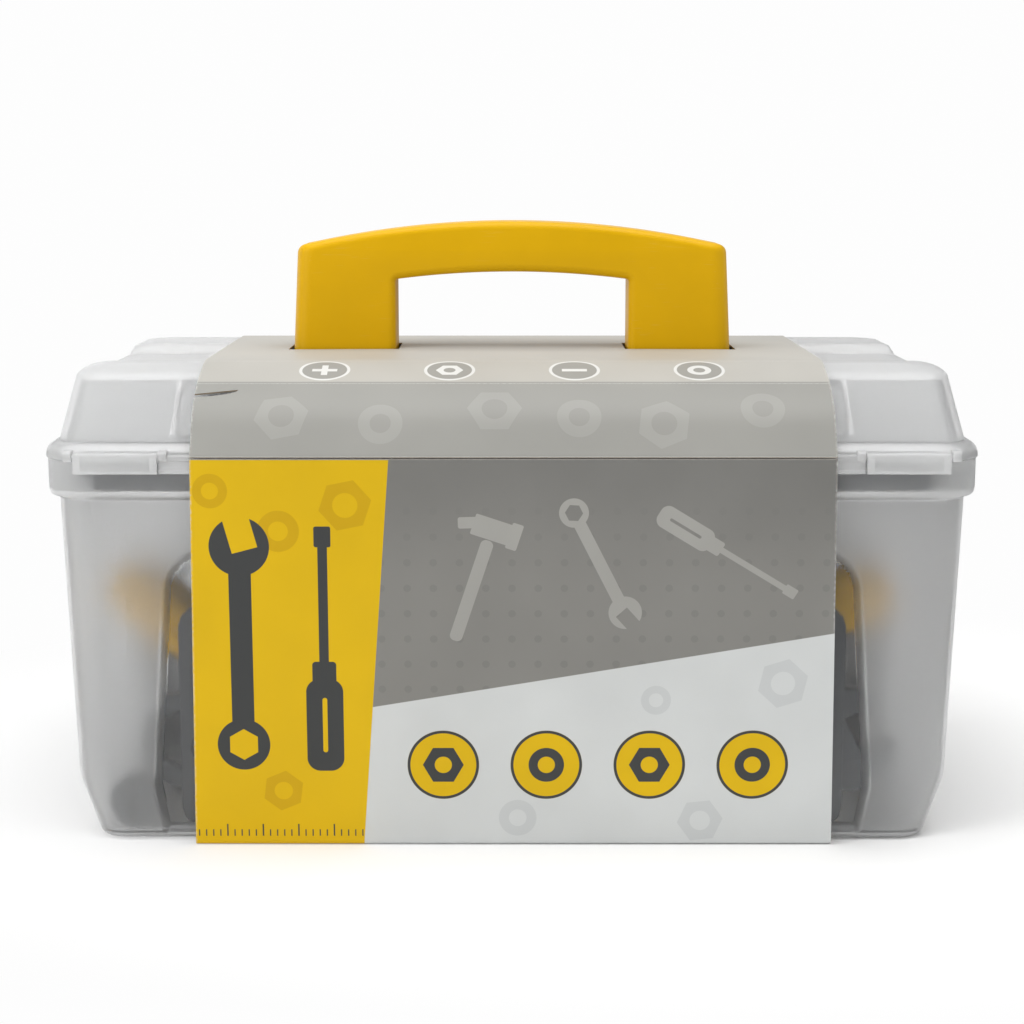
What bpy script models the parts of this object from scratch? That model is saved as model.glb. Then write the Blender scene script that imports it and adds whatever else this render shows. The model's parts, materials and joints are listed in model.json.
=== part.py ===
"""A child's tool box: a frosted case with a hinged lid, two latches, a carry handle and a card sleeve,
filled with a pegboard and toy tools.

Metres, +Z up. The latches face -Y and the length runs along X. The origin is the middle of the underside.
"""

import math

import bmesh
import bpy
from mathutils import Matrix, Vector

# Clearances and rounding steps
FIT_GAP = 0.0003
LID_LIP_GAP = 0.0004
OVERRUN = 0.004
MERGE = 0.000002
CORNER_STEPS = 6
ROUND_STEPS = 16
SMALL_ROUND_STEPS = 10

# Card sleeve
CARD = 0.0006
SLEEVE_HALF_LENGTH = 0.1101
SLEEVE_FLARE = 0.0018
SLEEVE_SHIFT = 0.0005
SLEEVE_BASE_PROUD = 0.0017
SLEEVE_EASE = 0.0009
SLEEVE_CREASE_ABOVE_RIM = 0.0017
SLEEVE_BULGE_RISE = 0.0150
SLEEVE_BULGE_EASE = 0.0009
SLEEVE_SHOULDER_PROUD = 0.0099
SLEEVE_SHOULDER_DROP = 0.0061
SLEEVE_TOP_EASE = 0.0005
SLEEVE_FOLD_RADIUS = 0.0016
SLEEVE_BEND_REACH = 0.0055
SLEEVE_BEND_STEPS = 3
SLEEVE_WINDOW_EASE = 0.0012

# Case
WALL = 0.0018
FLOOR = 0.0020
CASE_Z = CARD + FIT_GAP
WALL_TOP_HALF_LENGTH = 0.1578
WALL_TOP_HALF_WIDTH = 0.0913
WALL_HEIGHT = 0.1201
WALL_CORNER = 0.0130
WALL_DRAFT = 0.0031
BREAK_HEIGHT = 0.0207
BREAK_HALF_LENGTH = WALL_TOP_HALF_LENGTH - WALL_DRAFT
BREAK_HALF_WIDTH = WALL_TOP_HALF_WIDTH - WALL_DRAFT
FOOT_SLANT_LENGTH = 0.0073
FOOT_SLANT_WIDTH = 0.0008
BASE_HALF_LENGTH = BREAK_HALF_LENGTH - FOOT_SLANT_LENGTH
BASE_HALF_WIDTH = BREAK_HALF_WIDTH - FOOT_SLANT_WIDTH
BASE_CORNER = 0.0105
BASE_EDGE = 0.0010
RIM_STEP = 0.0037
RIM_ROUND = 0.0060
RIM_ROUND_shares = ((0.43, 0.08), (0.78, 0.28), (0.95, 0.58), (1.0, 1.0))
RIM_HEIGHT = 0.0155
LEDGE_HEIGHT = 0.0052
RIM_Z = CASE_Z + WALL_HEIGHT
RIM_TOP = RIM_Z + RIM_HEIGHT
RIM_HALF_LENGTH = WALL_TOP_HALF_LENGTH + RIM_STEP
RIM_HALF_WIDTH = WALL_TOP_HALF_WIDTH + RIM_STEP
RIM_CORNER = WALL_CORNER + RIM_STEP
LEDGE_Z = RIM_Z + LEDGE_HEIGHT
FLOOR_Z = CASE_Z + FLOOR
REST_Z = FLOOR_Z + FIT_GAP

# Sunk panel on the front and back of the case
PANEL_INSET = 0.0307
PANEL_HALF_LENGTH = BREAK_HALF_LENGTH - PANEL_INSET
PANEL_TAPER = 0.0050
PANEL_BOTTOM = 0.0052
PANEL_FOOT = 0.0200
PANEL_FOOT_TAPER = 0.0027
PANEL_DEPTH = 0.0040
PANEL_SLOPE = 0.0026
PANEL_TOP = 0.1030
PANEL_BOTTOM_share = 0.85
PANEL_DIP = 0.0210
PANEL_DIP_HALF_LENGTH = 0.0580
PANEL_DIP_RUN = 0.0140
PANEL_CORNER = 0.0140

# Lid
LID_SEAT = RIM_TOP + FIT_GAP
FLANGE_OVERHANG = 0.0006
FLANGE_HEIGHT = 0.0058
FLANGE_ROUND = 0.0050
FLANGE_ROUND_STEPS = 3
LIP_DEPTH = 0.0034
LIP_WALL = 0.0015
DOME_STEP_LENGTH = 0.0008
DOME_STEP_WIDTH = 0.0018
DOME_BASE_HALF_LENGTH = WALL_TOP_HALF_LENGTH - DOME_STEP_LENGTH
DOME_BASE_HALF_WIDTH = WALL_TOP_HALF_WIDTH - DOME_STEP_WIDTH
DOME_CORNER = 0.0085
BROW_RISE = 0.0204
BROW_LEAN_LENGTH = 0.0021
BROW_LEAN_WIDTH = 0.0225
BROW_HALF_LENGTH = DOME_BASE_HALF_LENGTH - BROW_LEAN_LENGTH
BROW_HALF_WIDTH = DOME_BASE_HALF_WIDTH - BROW_LEAN_WIDTH
LID_ROUND_shares = ((0.0, 0.0, 0.0), (0.10, 0.21, 0.35), (0.30, 0.57, 0.675), (0.60, 0.82, 0.875), (1.0, 1.0, 1.0))
LID_ROUND_LENGTH = 0.0104
LID_ROUND_WIDTH = 0.0105
LID_ROUND_HEIGHT = 0.0040
FLANGE_TOP = LID_SEAT + FLANGE_HEIGHT
BROW_Z = FLANGE_TOP + BROW_RISE
LID_TOP = BROW_Z + LID_ROUND_HEIGHT
LID_TOP_HALF_WIDTH = BROW_HALF_WIDTH - LID_ROUND_WIDTH
CHANNEL_DEPTH = 0.0034
CHANNEL_SLOPE = 0.0055
FRONT_HUMP_TOP = 0.0080
CHANNEL_FRONT = LID_TOP_HALF_WIDTH - FRONT_HUMP_TOP - CHANNEL_SLOPE
CHANNEL_LENGTH = 0.0620
CHANNEL_BACK = CHANNEL_LENGTH - CHANNEL_FRONT
CHANNEL_Z = LID_TOP - CHANNEL_DEPTH
SCALLOP_INSET = 0.0295
SCALLOP_X = DOME_BASE_HALF_LENGTH - SCALLOP_INSET
SCALLOP_HALF_LENGTH = 0.0120
SCALLOP_HALF_WIDTH = 0.0042
SCALLOP_DEPTH = 0.0011
LID_PANEL_INSET = 0.0432
LID_PANEL_HALF_LENGTH = DOME_BASE_HALF_LENGTH - LID_PANEL_INSET
LID_PANEL_DEPTH = 0.0014
LID_PANEL_SLOPE = 0.0033
LID_PANEL_MARGIN = 0.0042
LID_PANEL_CORNER = 0.0020

# Rail over the front of the rim, and the latches at its ends
RAIL_THICKNESS = 0.0021
RAIL_HEIGHT = 0.0065
RAIL_LIP = 0.0010
RAIL_BELOW = 0.0041
RAIL_BOTTOM = LID_SEAT - RAIL_BELOW
RAIL_FRONT = RIM_HALF_WIDTH + FIT_GAP + RAIL_THICKNESS
LATCH_INSET = 0.0263
LATCH_X = RIM_HALF_LENGTH - LATCH_INSET
LATCH_LENGTH = 0.0286
LATCH_END_GAP = 0.0004
LATCH_BARREL = 0.0013
LATCH_PLATE = 0.0011
LATCH_LIP = 0.0009
LATCH_LIP_HEIGHT = 0.0013
LATCH_RIB = 0.0026
LATCH_AXIS_RISE = 0.0016
LATCH_AXIS_PROUD = 0.0012
LATCH_AXIS_Z = LID_SEAT + LATCH_AXIS_RISE
LATCH_AXIS_Y = -(RIM_HALF_WIDTH + LATCH_AXIS_PROUD)
LATCH_PIN = 0.0008
LATCH_PIN_LENGTH = 0.0016
LUG_LENGTH = 0.0030
LUG_PROUD = 0.0018
LUG_HEIGHT = 0.0038
CATCH_PROUD = 0.0009
CATCH_HEIGHT = 0.0012
CATCH_NIB_HEIGHT = 0.0011
CATCH_BELOW = 0.0012

# Hinges at the back
HINGE_INSET = 0.0263
HINGE_X = RIM_HALF_LENGTH - HINGE_INSET
HINGE_LENGTH = 0.0280
HINGE_LUG = 0.0040
HINGE_LUG_RADIUS = 0.0028
HINGE_PIN = 0.0020
HINGE_BEHIND = 0.0045
HINGE_ROOT = 0.0100
HINGE_Y = RIM_HALF_WIDTH + HINGE_BEHIND
HINGE_Z = RIM_TOP
CLIP_INNER = HINGE_PIN + FIT_GAP
CLIP_WALL = 0.0017
CLIP_SIDE_GAP = 0.0005
CLIP_ARM = 0.0022
CLIP_MOUTH = math.radians(50)

# Carry handle and its screws
HANDLE_HALF_LENGTH = 0.0830
HANDLE_FLARE = 0.0020
HANDLE_WIDTH = 0.0260
HANDLE_WINDOW_HALF_LENGTH = 0.0438
HANDLE_CORNER_Z = 0.0424
HANDLE_CROWN = 0.0094
HANDLE_WINDOW_Z = 0.0304
HANDLE_WINDOW_CROWN = 0.0027
HANDLE_ROUND = 0.0030
HANDLE_OUTER_CORNER = 0.0042
HANDLE_INNER_CORNER = 0.0012
HANDLE_FOOT_Z = CHANNEL_Z + FIT_GAP
SCREW_SHANK = 0.0019
SCREW_HEAD = 0.0040
SCREW_HEAD_HEIGHT = 0.0022
SCREW_LENGTH = 0.0150
SCREW_SLOT = 0.0009
SCREW_SLOT_DEPTH = 0.0010

# Pegboard
BOARD_THICKNESS = 0.0065
BOARD_SKIN = 0.0022
BOARD_WALL = 0.0020
BOARD_CUT_X = 0.0160
BOARD_CUT_Y = 0.0300
BOARD_HOLE = 0.0062
BOARD_BOSS_WALL = 0.0018
BOARD_PITCH_X = 0.0500
BOARD_PITCH_Y = 0.0440
BOARD_COLUMNS = (2, 3, 3, 3, 2)
BOARD_HOLE_STEPS = 10
BOARD_NOTCH_X = 0.0560
BOARD_NOTCH_LENGTH = 0.0100
BOARD_NOTCH_DEPTH = 0.0016
BOARD_Z = LEDGE_Z + FIT_GAP
BOARD_HALF_LENGTH = RIM_HALF_LENGTH - WALL - FIT_GAP
BOARD_HALF_WIDTH = RIM_HALF_WIDTH - WALL - FIT_GAP

# Hammer
HAMMER_LENGTH = 0.1460
HAMMER_GRIP_RADIUS = 0.0125
HAMMER_NECK_RADIUS = 0.0080
HAMMER_TENON_RADIUS = 0.0070
HAMMER_FLAT_share = 0.84
HAMMER_HEAD_LENGTH = 0.0860
HAMMER_HEAD_HEIGHT = 0.0260
HAMMER_HEAD_WIDTH = 0.0220
HAMMER_FACE_RADIUS = 0.0130
HAMMER_FACE_LENGTH = 0.0150
HAMMER_ROUND = 0.0016
HAMMER_TILT = math.radians(16)
HAMMER_CHEEK_share = 0.7
HAMMER_NECK_END_share = 0.30
HAMMER_FACE_END_share = 0.44
HAMMER_SLIT_share = 0.36
HAMMER_CLAW_shares = ((-0.56, -1.0), (-0.42, -0.2), (-0.16, 0.7))
HAMMER_CLAW_UNDER_shares = ((-0.13, -0.7), (-0.34, -0.62), (-0.50, -1.25))
HAMMER_GRIP_shares = (
    (0.16, 0.62), (0.30, 0.62), (0.34, 0.86), (0.42, 0.80), (0.55, 0.92),
    (0.72, 0.84), (0.88, 1.0), (0.96, 0.94), (1.0, 0.62),
)

# Screwdrivers
DRIVER_GRIP_LENGTH = 0.0740
DRIVER_GRIP_RADIUS = 0.0125
DRIVER_SHAFT_LENGTH = 0.0640
DRIVER_SHAFT_RADIUS = 0.0036
DRIVER_TIP_LENGTH = 0.0150
DRIVER_TIP_WIDTH = 0.0046
DRIVER_TIP_THICKNESS = 0.0009
DRIVER_SOCKET_DEPTH = 0.0180
DRIVER_FLUTES = 6
DRIVER_FLUTE_DEPTH_share = 0.10
DRIVER_TILT = math.radians(39.5)
DRIVER_GRIP_shares = (
    (0.0, 0.50, 0.0), (0.05, 0.66, 0.0), (0.12, 0.70, 0.0), (0.20, 0.62, 0.3), (0.34, 0.86, 1.0),
    (0.60, 0.98, 1.0), (0.82, 0.98, 1.0), (0.93, 0.84, 0.5), (1.0, 0.50, 0.0),
)

# Spanners
SPANNER_LENGTH = 0.1180
SPANNER_THICKNESS = 0.0070
SPANNER_BAR = 0.0130
SPANNER_BUTT = 0.0080
SPANNER_ROUND = 0.0008
RING_RADIUS = 0.0175
RING_HOLE = 0.0110
JAW_RADIUS = 0.0190
JAW_GAP = 0.0150
JAW_DEPTH = 0.0150
JAW_TURN = math.radians(15)
SPANNER_TILT = math.radians(12)

# Pliers
PLIERS_THICKNESS = 0.0100
PLIERS_JAW_LENGTH = 0.0480
PLIERS_JAW_WIDTH = 0.0105
PLIERS_TIP_WIDTH = 0.0050
PLIERS_GRIP_LENGTH = 0.0880
PLIERS_GRIP_WIDTH = 0.0100
PLIERS_GRIP_BOW = 0.0140
PLIERS_DISC = 0.0125
PLIERS_DISC_GAP = 0.0008
PLIERS_RIVET = 0.0038
PLIERS_RIVET_HEAD = 0.0058
PLIERS_RIVET_HEAD_HEIGHT = 0.0012
PLIERS_JAW_ROOT_share = 0.7
PLIERS_JAW_SHOULDER_share = 0.9
PLIERS_JAW_TAPER_shares = (0.6, 0.9)
PLIERS_HEAD_CROWN_share = 0.7
PLIERS_GRIP_shares = ((0.14, 0.30), (0.30, 0.72), (0.50, 1.0), (0.72, 1.0), (0.90, 0.86), (1.0, 0.70))

# Saw
SAW_GRIP_LENGTH = 0.0700
SAW_GRIP_HEIGHT = 0.0620
SAW_GRIP_THICKNESS = 0.0140
SAW_GRIP_CORNER = 0.0150
SAW_GRIP_WALL = 0.0150
SAW_GRIP_ROUND = 0.0020
SAW_BLADE_LENGTH = 0.1200
SAW_BLADE_HEIGHT = 0.0360
SAW_BLADE_TIP = 0.0200
SAW_BLADE_THICKNESS = 0.0022
SAW_BLADE_TENON = 0.0120
SAW_TEETH = 14
SAW_TOOTH = 0.0030

# Bolts, nuts and pegs
BOLT_HEAD = 0.0098
BOLT_HEAD_HEIGHT = 0.0095
BOLT_SHANK = 0.0054
BOLT_LENGTH = 0.0290
BOLT_RIDGE = 0.0006
BOLT_RIDGES = 3
BOLT_STEPS = 10
BOLT_SLOT = 0.0026
BOLT_SLOT_DEPTH = 0.0030
NUT_FLANGE = 0.0105
NUT_FLANGE_HEIGHT = 0.0022
NUT_HEX = 0.0090
NUT_HEIGHT = 0.0090
NUT_BORE = 0.0058
PEG_HEAD = 0.0072
PEG_HEAD_HEIGHT = 0.0040
PEG_CROWN_share = 0.6
PEG_SHANK = 0.0042
PEG_LENGTH = 0.0380
PEG_TIP = 0.0028

# Toy building strips and brackets
STRIP_LENGTH = 0.0560
STRIP_WIDTH = 0.0190
STRIP_THICKNESS = 0.0040
STRIP_HOLES = 3
STRIP_HOLE = 0.0058
BRACKET_SIDE = 0.0520
BRACKET_CORNER = 0.0060
BRACKET_BAND = 0.0090

# Dark planks that stand on end behind the front wall, and the end panels that carry the board as a bench
PLANK_LENGTH = 0.0800
PLANK_WIDTH = 0.0190
PLANK_THICKNESS = 0.0040
PLANK_HOLE_RISE = 0.0290
PLANK_INSET = 0.0375
STAND_LENGTH = 0.1160
STAND_HEIGHT = 0.0880
STAND_THICKNESS = 0.0030
STAND_FOOT = 0.0090
STAND_CUT = 0.0120
STAND_SHIFT = 0.0142

# Where the loose pieces lie, as shares of the floor's half length and half width, with a turn in degrees
FLOOR_HALF_LENGTH = BASE_HALF_LENGTH - WALL
FLOOR_HALF_WIDTH = BASE_HALF_WIDTH - WALL - PANEL_DEPTH
HAMMER_PLACE_shares = (-0.03, -0.715)
DRIVER_A_PLACE_shares = (-0.246, -0.697)
DRIVER_B_PLACE_shares = (0.22, 0.70)
RING_SPANNER_PLACE_shares = (-0.798, -0.8985)
OPEN_SPANNER_PLACE_shares = (0.822, -0.8985)
PLIERS_PLACE_shares = (-0.07, -0.18)
SAW_PLACE_shares = (0.64, 0.885)
BOLT_PLACES_shares = (
    (-0.924, -0.905, -90, True), (0.84, -0.13, 0, False), (-0.84, 0.66, 90, True),
    (0.84, 0.56, 90, True), (-0.84, 0.08, 90, True), (0.62, -0.40, 180, True),
)
NUT_PLACES_shares = ((-0.81, -0.414), (0.68, 0.04), (0.66, 0.40), (-0.62, -0.28))
PEG_PLACES_shares = ((-0.71, 0.28, 90), (0.10, 0.50, 0))
PILE_PLACE_shares = (-0.42, 0.26)

COLLECTION_NAME = "toy_tool_box"
CUTTER_COLLECTION_NAME = "cutters"


def clear_scene():
    for piece in list(bpy.data.objects):
        bpy.data.objects.remove(piece, do_unlink=True)


def new_collection(name, hidden=False):
    collection = bpy.data.collections.new(name)
    collection.hide_render = hidden
    bpy.context.scene.collection.children.link(collection)
    return collection


clear_scene()
PARTS = new_collection(COLLECTION_NAME)
CUTTERS = new_collection(CUTTER_COLLECTION_NAME, hidden=True)


def plastic(name, colour, roughness, alpha=1.0, metallic=0.0):
    """A Principled material of one plain finish."""
    material = bpy.data.materials.new(name)
    material.use_nodes = True
    shader = material.node_tree.nodes["Principled BSDF"]
    shader.inputs["Base Color"].default_value = (*colour, 1.0)
    shader.inputs["Roughness"].default_value = roughness
    shader.inputs["Metallic"].default_value = metallic
    shader.inputs["Alpha"].default_value = alpha
    return material


def smooth(piece):
    """Shades round faces smooth and leaves real edges sharp."""
    piece.data.shade_smooth()
    piece.data.set_sharp_from_angle(angle=math.radians(32))


def place_in_parts(piece, material):
    """Moves an object into the collection of parts, gives it its material and shades it."""
    for collection in list(piece.users_collection):
        collection.objects.unlink(piece)
    PARTS.objects.link(piece)
    piece.data.materials.clear()
    piece.data.materials.append(material)
    smooth(piece)
    return piece


def as_cutter(piece):
    """Keeps an object out of the model, for Booleans only."""
    for collection in list(piece.users_collection):
        collection.objects.unlink(piece)
    CUTTERS.objects.link(piece)
    piece.hide_render = True
    piece.display_type = "WIRE"
    return piece


def boolean(piece, operation, *others):
    for other in others:
        modifier = piece.modifiers.new(f"{operation.lower()} {other.name}", "BOOLEAN")
        modifier.operation = operation
        modifier.object = as_cutter(other)
    return piece


def cut(piece, *cutters):
    return boolean(piece, "DIFFERENCE", *cutters)


def join(piece, *others):
    return boolean(piece, "UNION", *others)


def from_bmesh(name, shape):
    mesh = bpy.data.meshes.new(name)
    shape.to_mesh(mesh)
    shape.free()
    piece = bpy.data.objects.new(name, mesh)
    PARTS.objects.link(piece)
    return piece


def settled(piece):
    """The same object with its modifiers applied, so that copies can share its mesh."""
    graph = bpy.context.evaluated_depsgraph_get()
    mesh = bpy.data.meshes.new_from_object(piece.evaluated_get(graph))
    piece.modifiers.clear()
    piece.data = mesh
    return piece


def copy_of(piece, name):
    twin = bpy.data.objects.new(name, piece.data)
    PARTS.objects.link(twin)
    return twin


def arc(centre, radius, start, end, steps):
    """Points along an arc, from one angle to another, both ends included."""
    angles = [start + (end - start) * step / steps for step in range(steps + 1)]
    return [(centre[0] + radius * math.cos(a), centre[1] + radius * math.sin(a)) for a in angles]


def circle(radius, steps, centre=(0, 0)):
    return arc(centre, radius, 0, math.tau, steps)[:-1]


def rounded_rectangle(half_length, half_width, corner, steps=CORNER_STEPS):
    """Points round a rectangle with arc corners, anticlockwise."""
    points = []
    for turn, (side_x, side_y) in enumerate(((1, 1), (-1, 1), (-1, -1), (1, -1))):
        centre = (side_x * (half_length - corner), side_y * (half_width - corner))
        start = turn * math.pi / 2
        points += arc(centre, corner, start, start + math.pi / 2, steps)
    return points


def loft(name, rings):
    """A closed solid through rings of equally many points."""
    shape = bmesh.new()
    loops = [[shape.verts.new(point) for point in ring] for ring in rings]
    for low, high in zip(loops, loops[1:]):
        for near, far, top_far, top_near in zip(low, low[1:] + low[:1], high[1:] + high[:1], high):
            shape.faces.new((near, far, top_far, top_near))
    shape.faces.new(loops[0])
    shape.faces.new(loops[-1])
    bmesh.ops.recalc_face_normals(shape, faces=shape.faces)
    return from_bmesh(name, shape)


def stacked(name, sections, steps=CORNER_STEPS):
    """A loft up through rounded rectangles, each a height, a half length, a half width and a corner."""
    rings = []
    for height, half_length, half_width, corner in sections:
        ring = rounded_rectangle(half_length, half_width, corner, steps)
        rings.append([(x, y, height) for x, y in ring])
    return loft(name, rings)


def plate(name, outline, thickness, holes=(), edge=0.0):
    """A flat piece in the XY plane, centred on it, with an optional rounded edge."""
    curve = bpy.data.curves.new(name, "CURVE")
    curve.dimensions = "2D"
    curve.fill_mode = "BOTH"
    curve.extrude = thickness / 2 - edge
    curve.bevel_depth = edge
    curve.bevel_resolution = 1
    curve.offset = -edge
    for points in (outline, *holes):
        spline = curve.splines.new("POLY")
        spline.points.add(len(points) - 1)
        spline.use_cyclic_u = True
        for point, (x, y) in zip(spline.points, points):
            point.co = (x, y, 0, 1)
    guide = bpy.data.objects.new(name, curve)
    PARTS.objects.link(guide)
    graph = bpy.context.evaluated_depsgraph_get()
    shape = bmesh.new()
    shape.from_mesh(bpy.data.meshes.new_from_object(guide.evaluated_get(graph)))
    bmesh.ops.remove_doubles(shape, verts=shape.verts, dist=MERGE)
    bmesh.ops.dissolve_degenerate(shape, edges=shape.edges, dist=MERGE)
    bmesh.ops.recalc_face_normals(shape, faces=shape.faces)
    bpy.data.objects.remove(guide, do_unlink=True)
    return from_bmesh(name, shape)


def upright(piece):
    """Turns a plate from the XY plane to the XZ plane."""
    piece.data.transform(Matrix.Rotation(math.pi / 2, 4, "X"))
    return piece


def sideways(piece):
    """Turns a plate whose outline was drawn as (y, z) so that its thickness runs along X."""
    axes = Matrix(((0, 0, 1, 0), (1, 0, 0, 0), (0, 1, 0, 0), (0, 0, 0, 1)))
    piece.data.transform(axes)
    return piece


def moved(piece, x=0.0, y=0.0, z=0.0):
    piece.data.transform(Matrix.Translation((x, y, z)))
    return piece


def block(name, low, high):
    """A box between two corners."""
    shape = bmesh.new()
    bmesh.ops.create_cube(shape, size=1)
    size = Vector(high) - Vector(low)
    middle = (Vector(high) + Vector(low)) / 2
    bmesh.ops.scale(shape, vec=size, verts=shape.verts)
    bmesh.ops.translate(shape, vec=middle, verts=shape.verts)
    return from_bmesh(name, shape)


def rod(name, radius, low, high, axis="Z", centre=(0, 0), steps=ROUND_STEPS):
    """A cylinder between two places along an axis, round the given centre in the other two."""
    shape = bmesh.new()
    bmesh.ops.create_cone(
        shape, cap_ends=True, segments=steps, radius1=radius, radius2=radius, depth=high - low
    )
    if axis == "X":
        bmesh.ops.rotate(shape, matrix=Matrix.Rotation(math.pi / 2, 3, "Y"), verts=shape.verts)
        middle = ((low + high) / 2, centre[0], centre[1])
    elif axis == "Y":
        bmesh.ops.rotate(shape, matrix=Matrix.Rotation(math.pi / 2, 3, "X"), verts=shape.verts)
        middle = (centre[0], (low + high) / 2, centre[1])
    else:
        middle = (centre[0], centre[1], (low + high) / 2)
    bmesh.ops.translate(shape, vec=middle, verts=shape.verts)
    return from_bmesh(name, shape)


def turned(name, profile, steps):
    """A solid of revolution round Z from a profile of (radius, height), given from its top to its base."""
    mesh = bpy.data.meshes.new(name)
    points = [(radius, 0, height) for radius, height in profile]
    mesh.from_pydata(points, [(i, i + 1) for i in range(len(points) - 1)], [])
    piece = bpy.data.objects.new(name, mesh)
    PARTS.objects.link(piece)
    screw = piece.modifiers.new("turn", "SCREW")
    screw.steps = steps
    screw.render_steps = steps
    screw.use_merge_vertices = True
    screw.merge_threshold = MERGE
    return settled(piece)


def rest_on(root, pieces, height):
    """Lifts or lowers a group so that its lowest point lies at the given height."""
    bpy.context.view_layer.update()
    lowest = min((piece.matrix_world @ v.co).z for piece in pieces for v in piece.data.vertices)
    root.location.z += height - lowest


def group(name, children, shares, turn=(0, 0, 0), height=REST_Z):
    """Parents pieces to an empty that places them on the case's floor."""
    root = bpy.data.objects.new(name, None)
    PARTS.objects.link(root)
    for child in children:
        child.parent = root
    root.rotation_euler = turn
    root.location = (shares[0] * FLOOR_HALF_LENGTH, shares[1] * FLOOR_HALF_WIDTH, 0)
    rest_on(root, children, height)
    return root


# Materials of the real piece: frosted polypropylene, yellow and dark moulded plastic, printed card, steel
FROSTED = plastic("frosted polypropylene", (0.86, 0.88, 0.90), 0.42, alpha=0.35)
YELLOW = plastic("yellow plastic", (0.78, 0.47, 0.005), 0.38)
GRAPHITE = plastic("dark grey plastic", (0.055, 0.062, 0.070), 0.45)
CARDBOARD = plastic("printed card", (0.36, 0.35, 0.32), 0.62)
STEEL = plastic("zinc plated steel", (0.70, 0.70, 0.68), 0.30, metallic=1.0)


def case_outer():
    """The case's outside: base edge, slanted foot, drafted walls and the wider rim."""
    return stacked("case_body", (
        (CASE_Z, BASE_HALF_LENGTH - BASE_EDGE, BASE_HALF_WIDTH - BASE_EDGE, BASE_CORNER - BASE_EDGE),
        (CASE_Z + BASE_EDGE, BASE_HALF_LENGTH, BASE_HALF_WIDTH, BASE_CORNER),
        (CASE_Z + BREAK_HEIGHT, BREAK_HALF_LENGTH, BREAK_HALF_WIDTH, WALL_CORNER),
        (RIM_Z, WALL_TOP_HALF_LENGTH, WALL_TOP_HALF_WIDTH, WALL_CORNER),
        *rim_underside(),
        (RIM_TOP, RIM_HALF_LENGTH, RIM_HALF_WIDTH, RIM_CORNER),
    ))


def rim_underside():
    """The rounding from the wall out to the rim."""
    sections = []
    for outward, upward in RIM_ROUND_shares:
        out = outward * RIM_STEP
        sections.append((RIM_Z + upward * RIM_ROUND, WALL_TOP_HALF_LENGTH + out, WALL_TOP_HALF_WIDTH + out,
                         WALL_CORNER + out))
    return sections


def case_cavity():
    """The hollow: the walls' thickness inside the outside, widening at the ledge that carries the board."""
    inner_base = (BASE_HALF_LENGTH - WALL, BASE_HALF_WIDTH - WALL, BASE_CORNER - WALL)
    inner_break = (BREAK_HALF_LENGTH - WALL, BREAK_HALF_WIDTH - WALL, WALL_CORNER - WALL)
    inner_wall = (WALL_TOP_HALF_LENGTH - WALL, WALL_TOP_HALF_WIDTH - WALL, WALL_CORNER - WALL)
    inner_rim = (RIM_HALF_LENGTH - WALL, RIM_HALF_WIDTH - WALL, RIM_CORNER - WALL)
    return stacked("case_hollow", (
        (FLOOR_Z, *inner_base),
        (CASE_Z + BREAK_HEIGHT, *inner_break),
        (LEDGE_Z, *inner_wall),
        (LEDGE_Z + MERGE * 10, *inner_rim),
        (RIM_TOP + OVERRUN, *inner_rim),
    ))


def panel_outline(grow):
    """The case's sunk front panel: wide at the foot, round top corners and a lower middle."""
    low = PANEL_BOTTOM - grow * PANEL_BOTTOM_share
    top = PANEL_TOP + grow
    half_top = PANEL_HALF_LENGTH - PANEL_TAPER + grow
    half_foot = PANEL_HALF_LENGTH + grow
    corner = PANEL_CORNER + grow
    right = [(half_foot - PANEL_FOOT_TAPER, low), (half_foot, PANEL_FOOT)]
    right += arc((half_top - corner, top - corner), corner, 0, math.pi / 2, CORNER_STEPS)
    right += [(PANEL_DIP_HALF_LENGTH + PANEL_DIP_RUN + grow, top), (PANEL_DIP_HALF_LENGTH, top - PANEL_DIP)]
    return right + [(-x, z) for x, z in reversed(right)]


def panel_cutter(name, side, inset, extra):
    """A wedge block that sinks the panel into a wall that leans with the case's draft."""
    draft = (WALL_TOP_HALF_WIDTH - BREAK_HALF_WIDTH) / (WALL_HEIGHT - BREAK_HEIGHT)
    rings = []
    for out, grow in ((OVERRUN, extra + PANEL_SLOPE), (0.0, extra + PANEL_SLOPE), (-PANEL_DEPTH, extra)):
        ring = []
        for x, z in panel_outline(grow):
            wall = BREAK_HALF_WIDTH + draft * (z - CASE_Z - BREAK_HEIGHT)
            ring.append((x, side * (wall + out - inset), z))
        rings.append(ring)
    return loft(name, rings)


def hinge_lug(name, x):
    """A lug on the back of the rim that carries an end of the hinge pin."""
    outline = [(RIM_HALF_WIDTH - WALL / 2, HINGE_Z - HINGE_ROOT), (RIM_HALF_WIDTH, HINGE_Z - HINGE_ROOT)]
    outline += arc((HINGE_Y, HINGE_Z), HINGE_LUG_RADIUS, math.radians(-30), math.radians(180), 8)
    outline += [(HINGE_Y - HINGE_LUG_RADIUS, HINGE_Z - FIT_GAP), (RIM_HALF_WIDTH - WALL / 2, HINGE_Z - FIT_GAP)]
    return moved(sideways(plate(name, outline, HINGE_LUG)), x)


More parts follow.
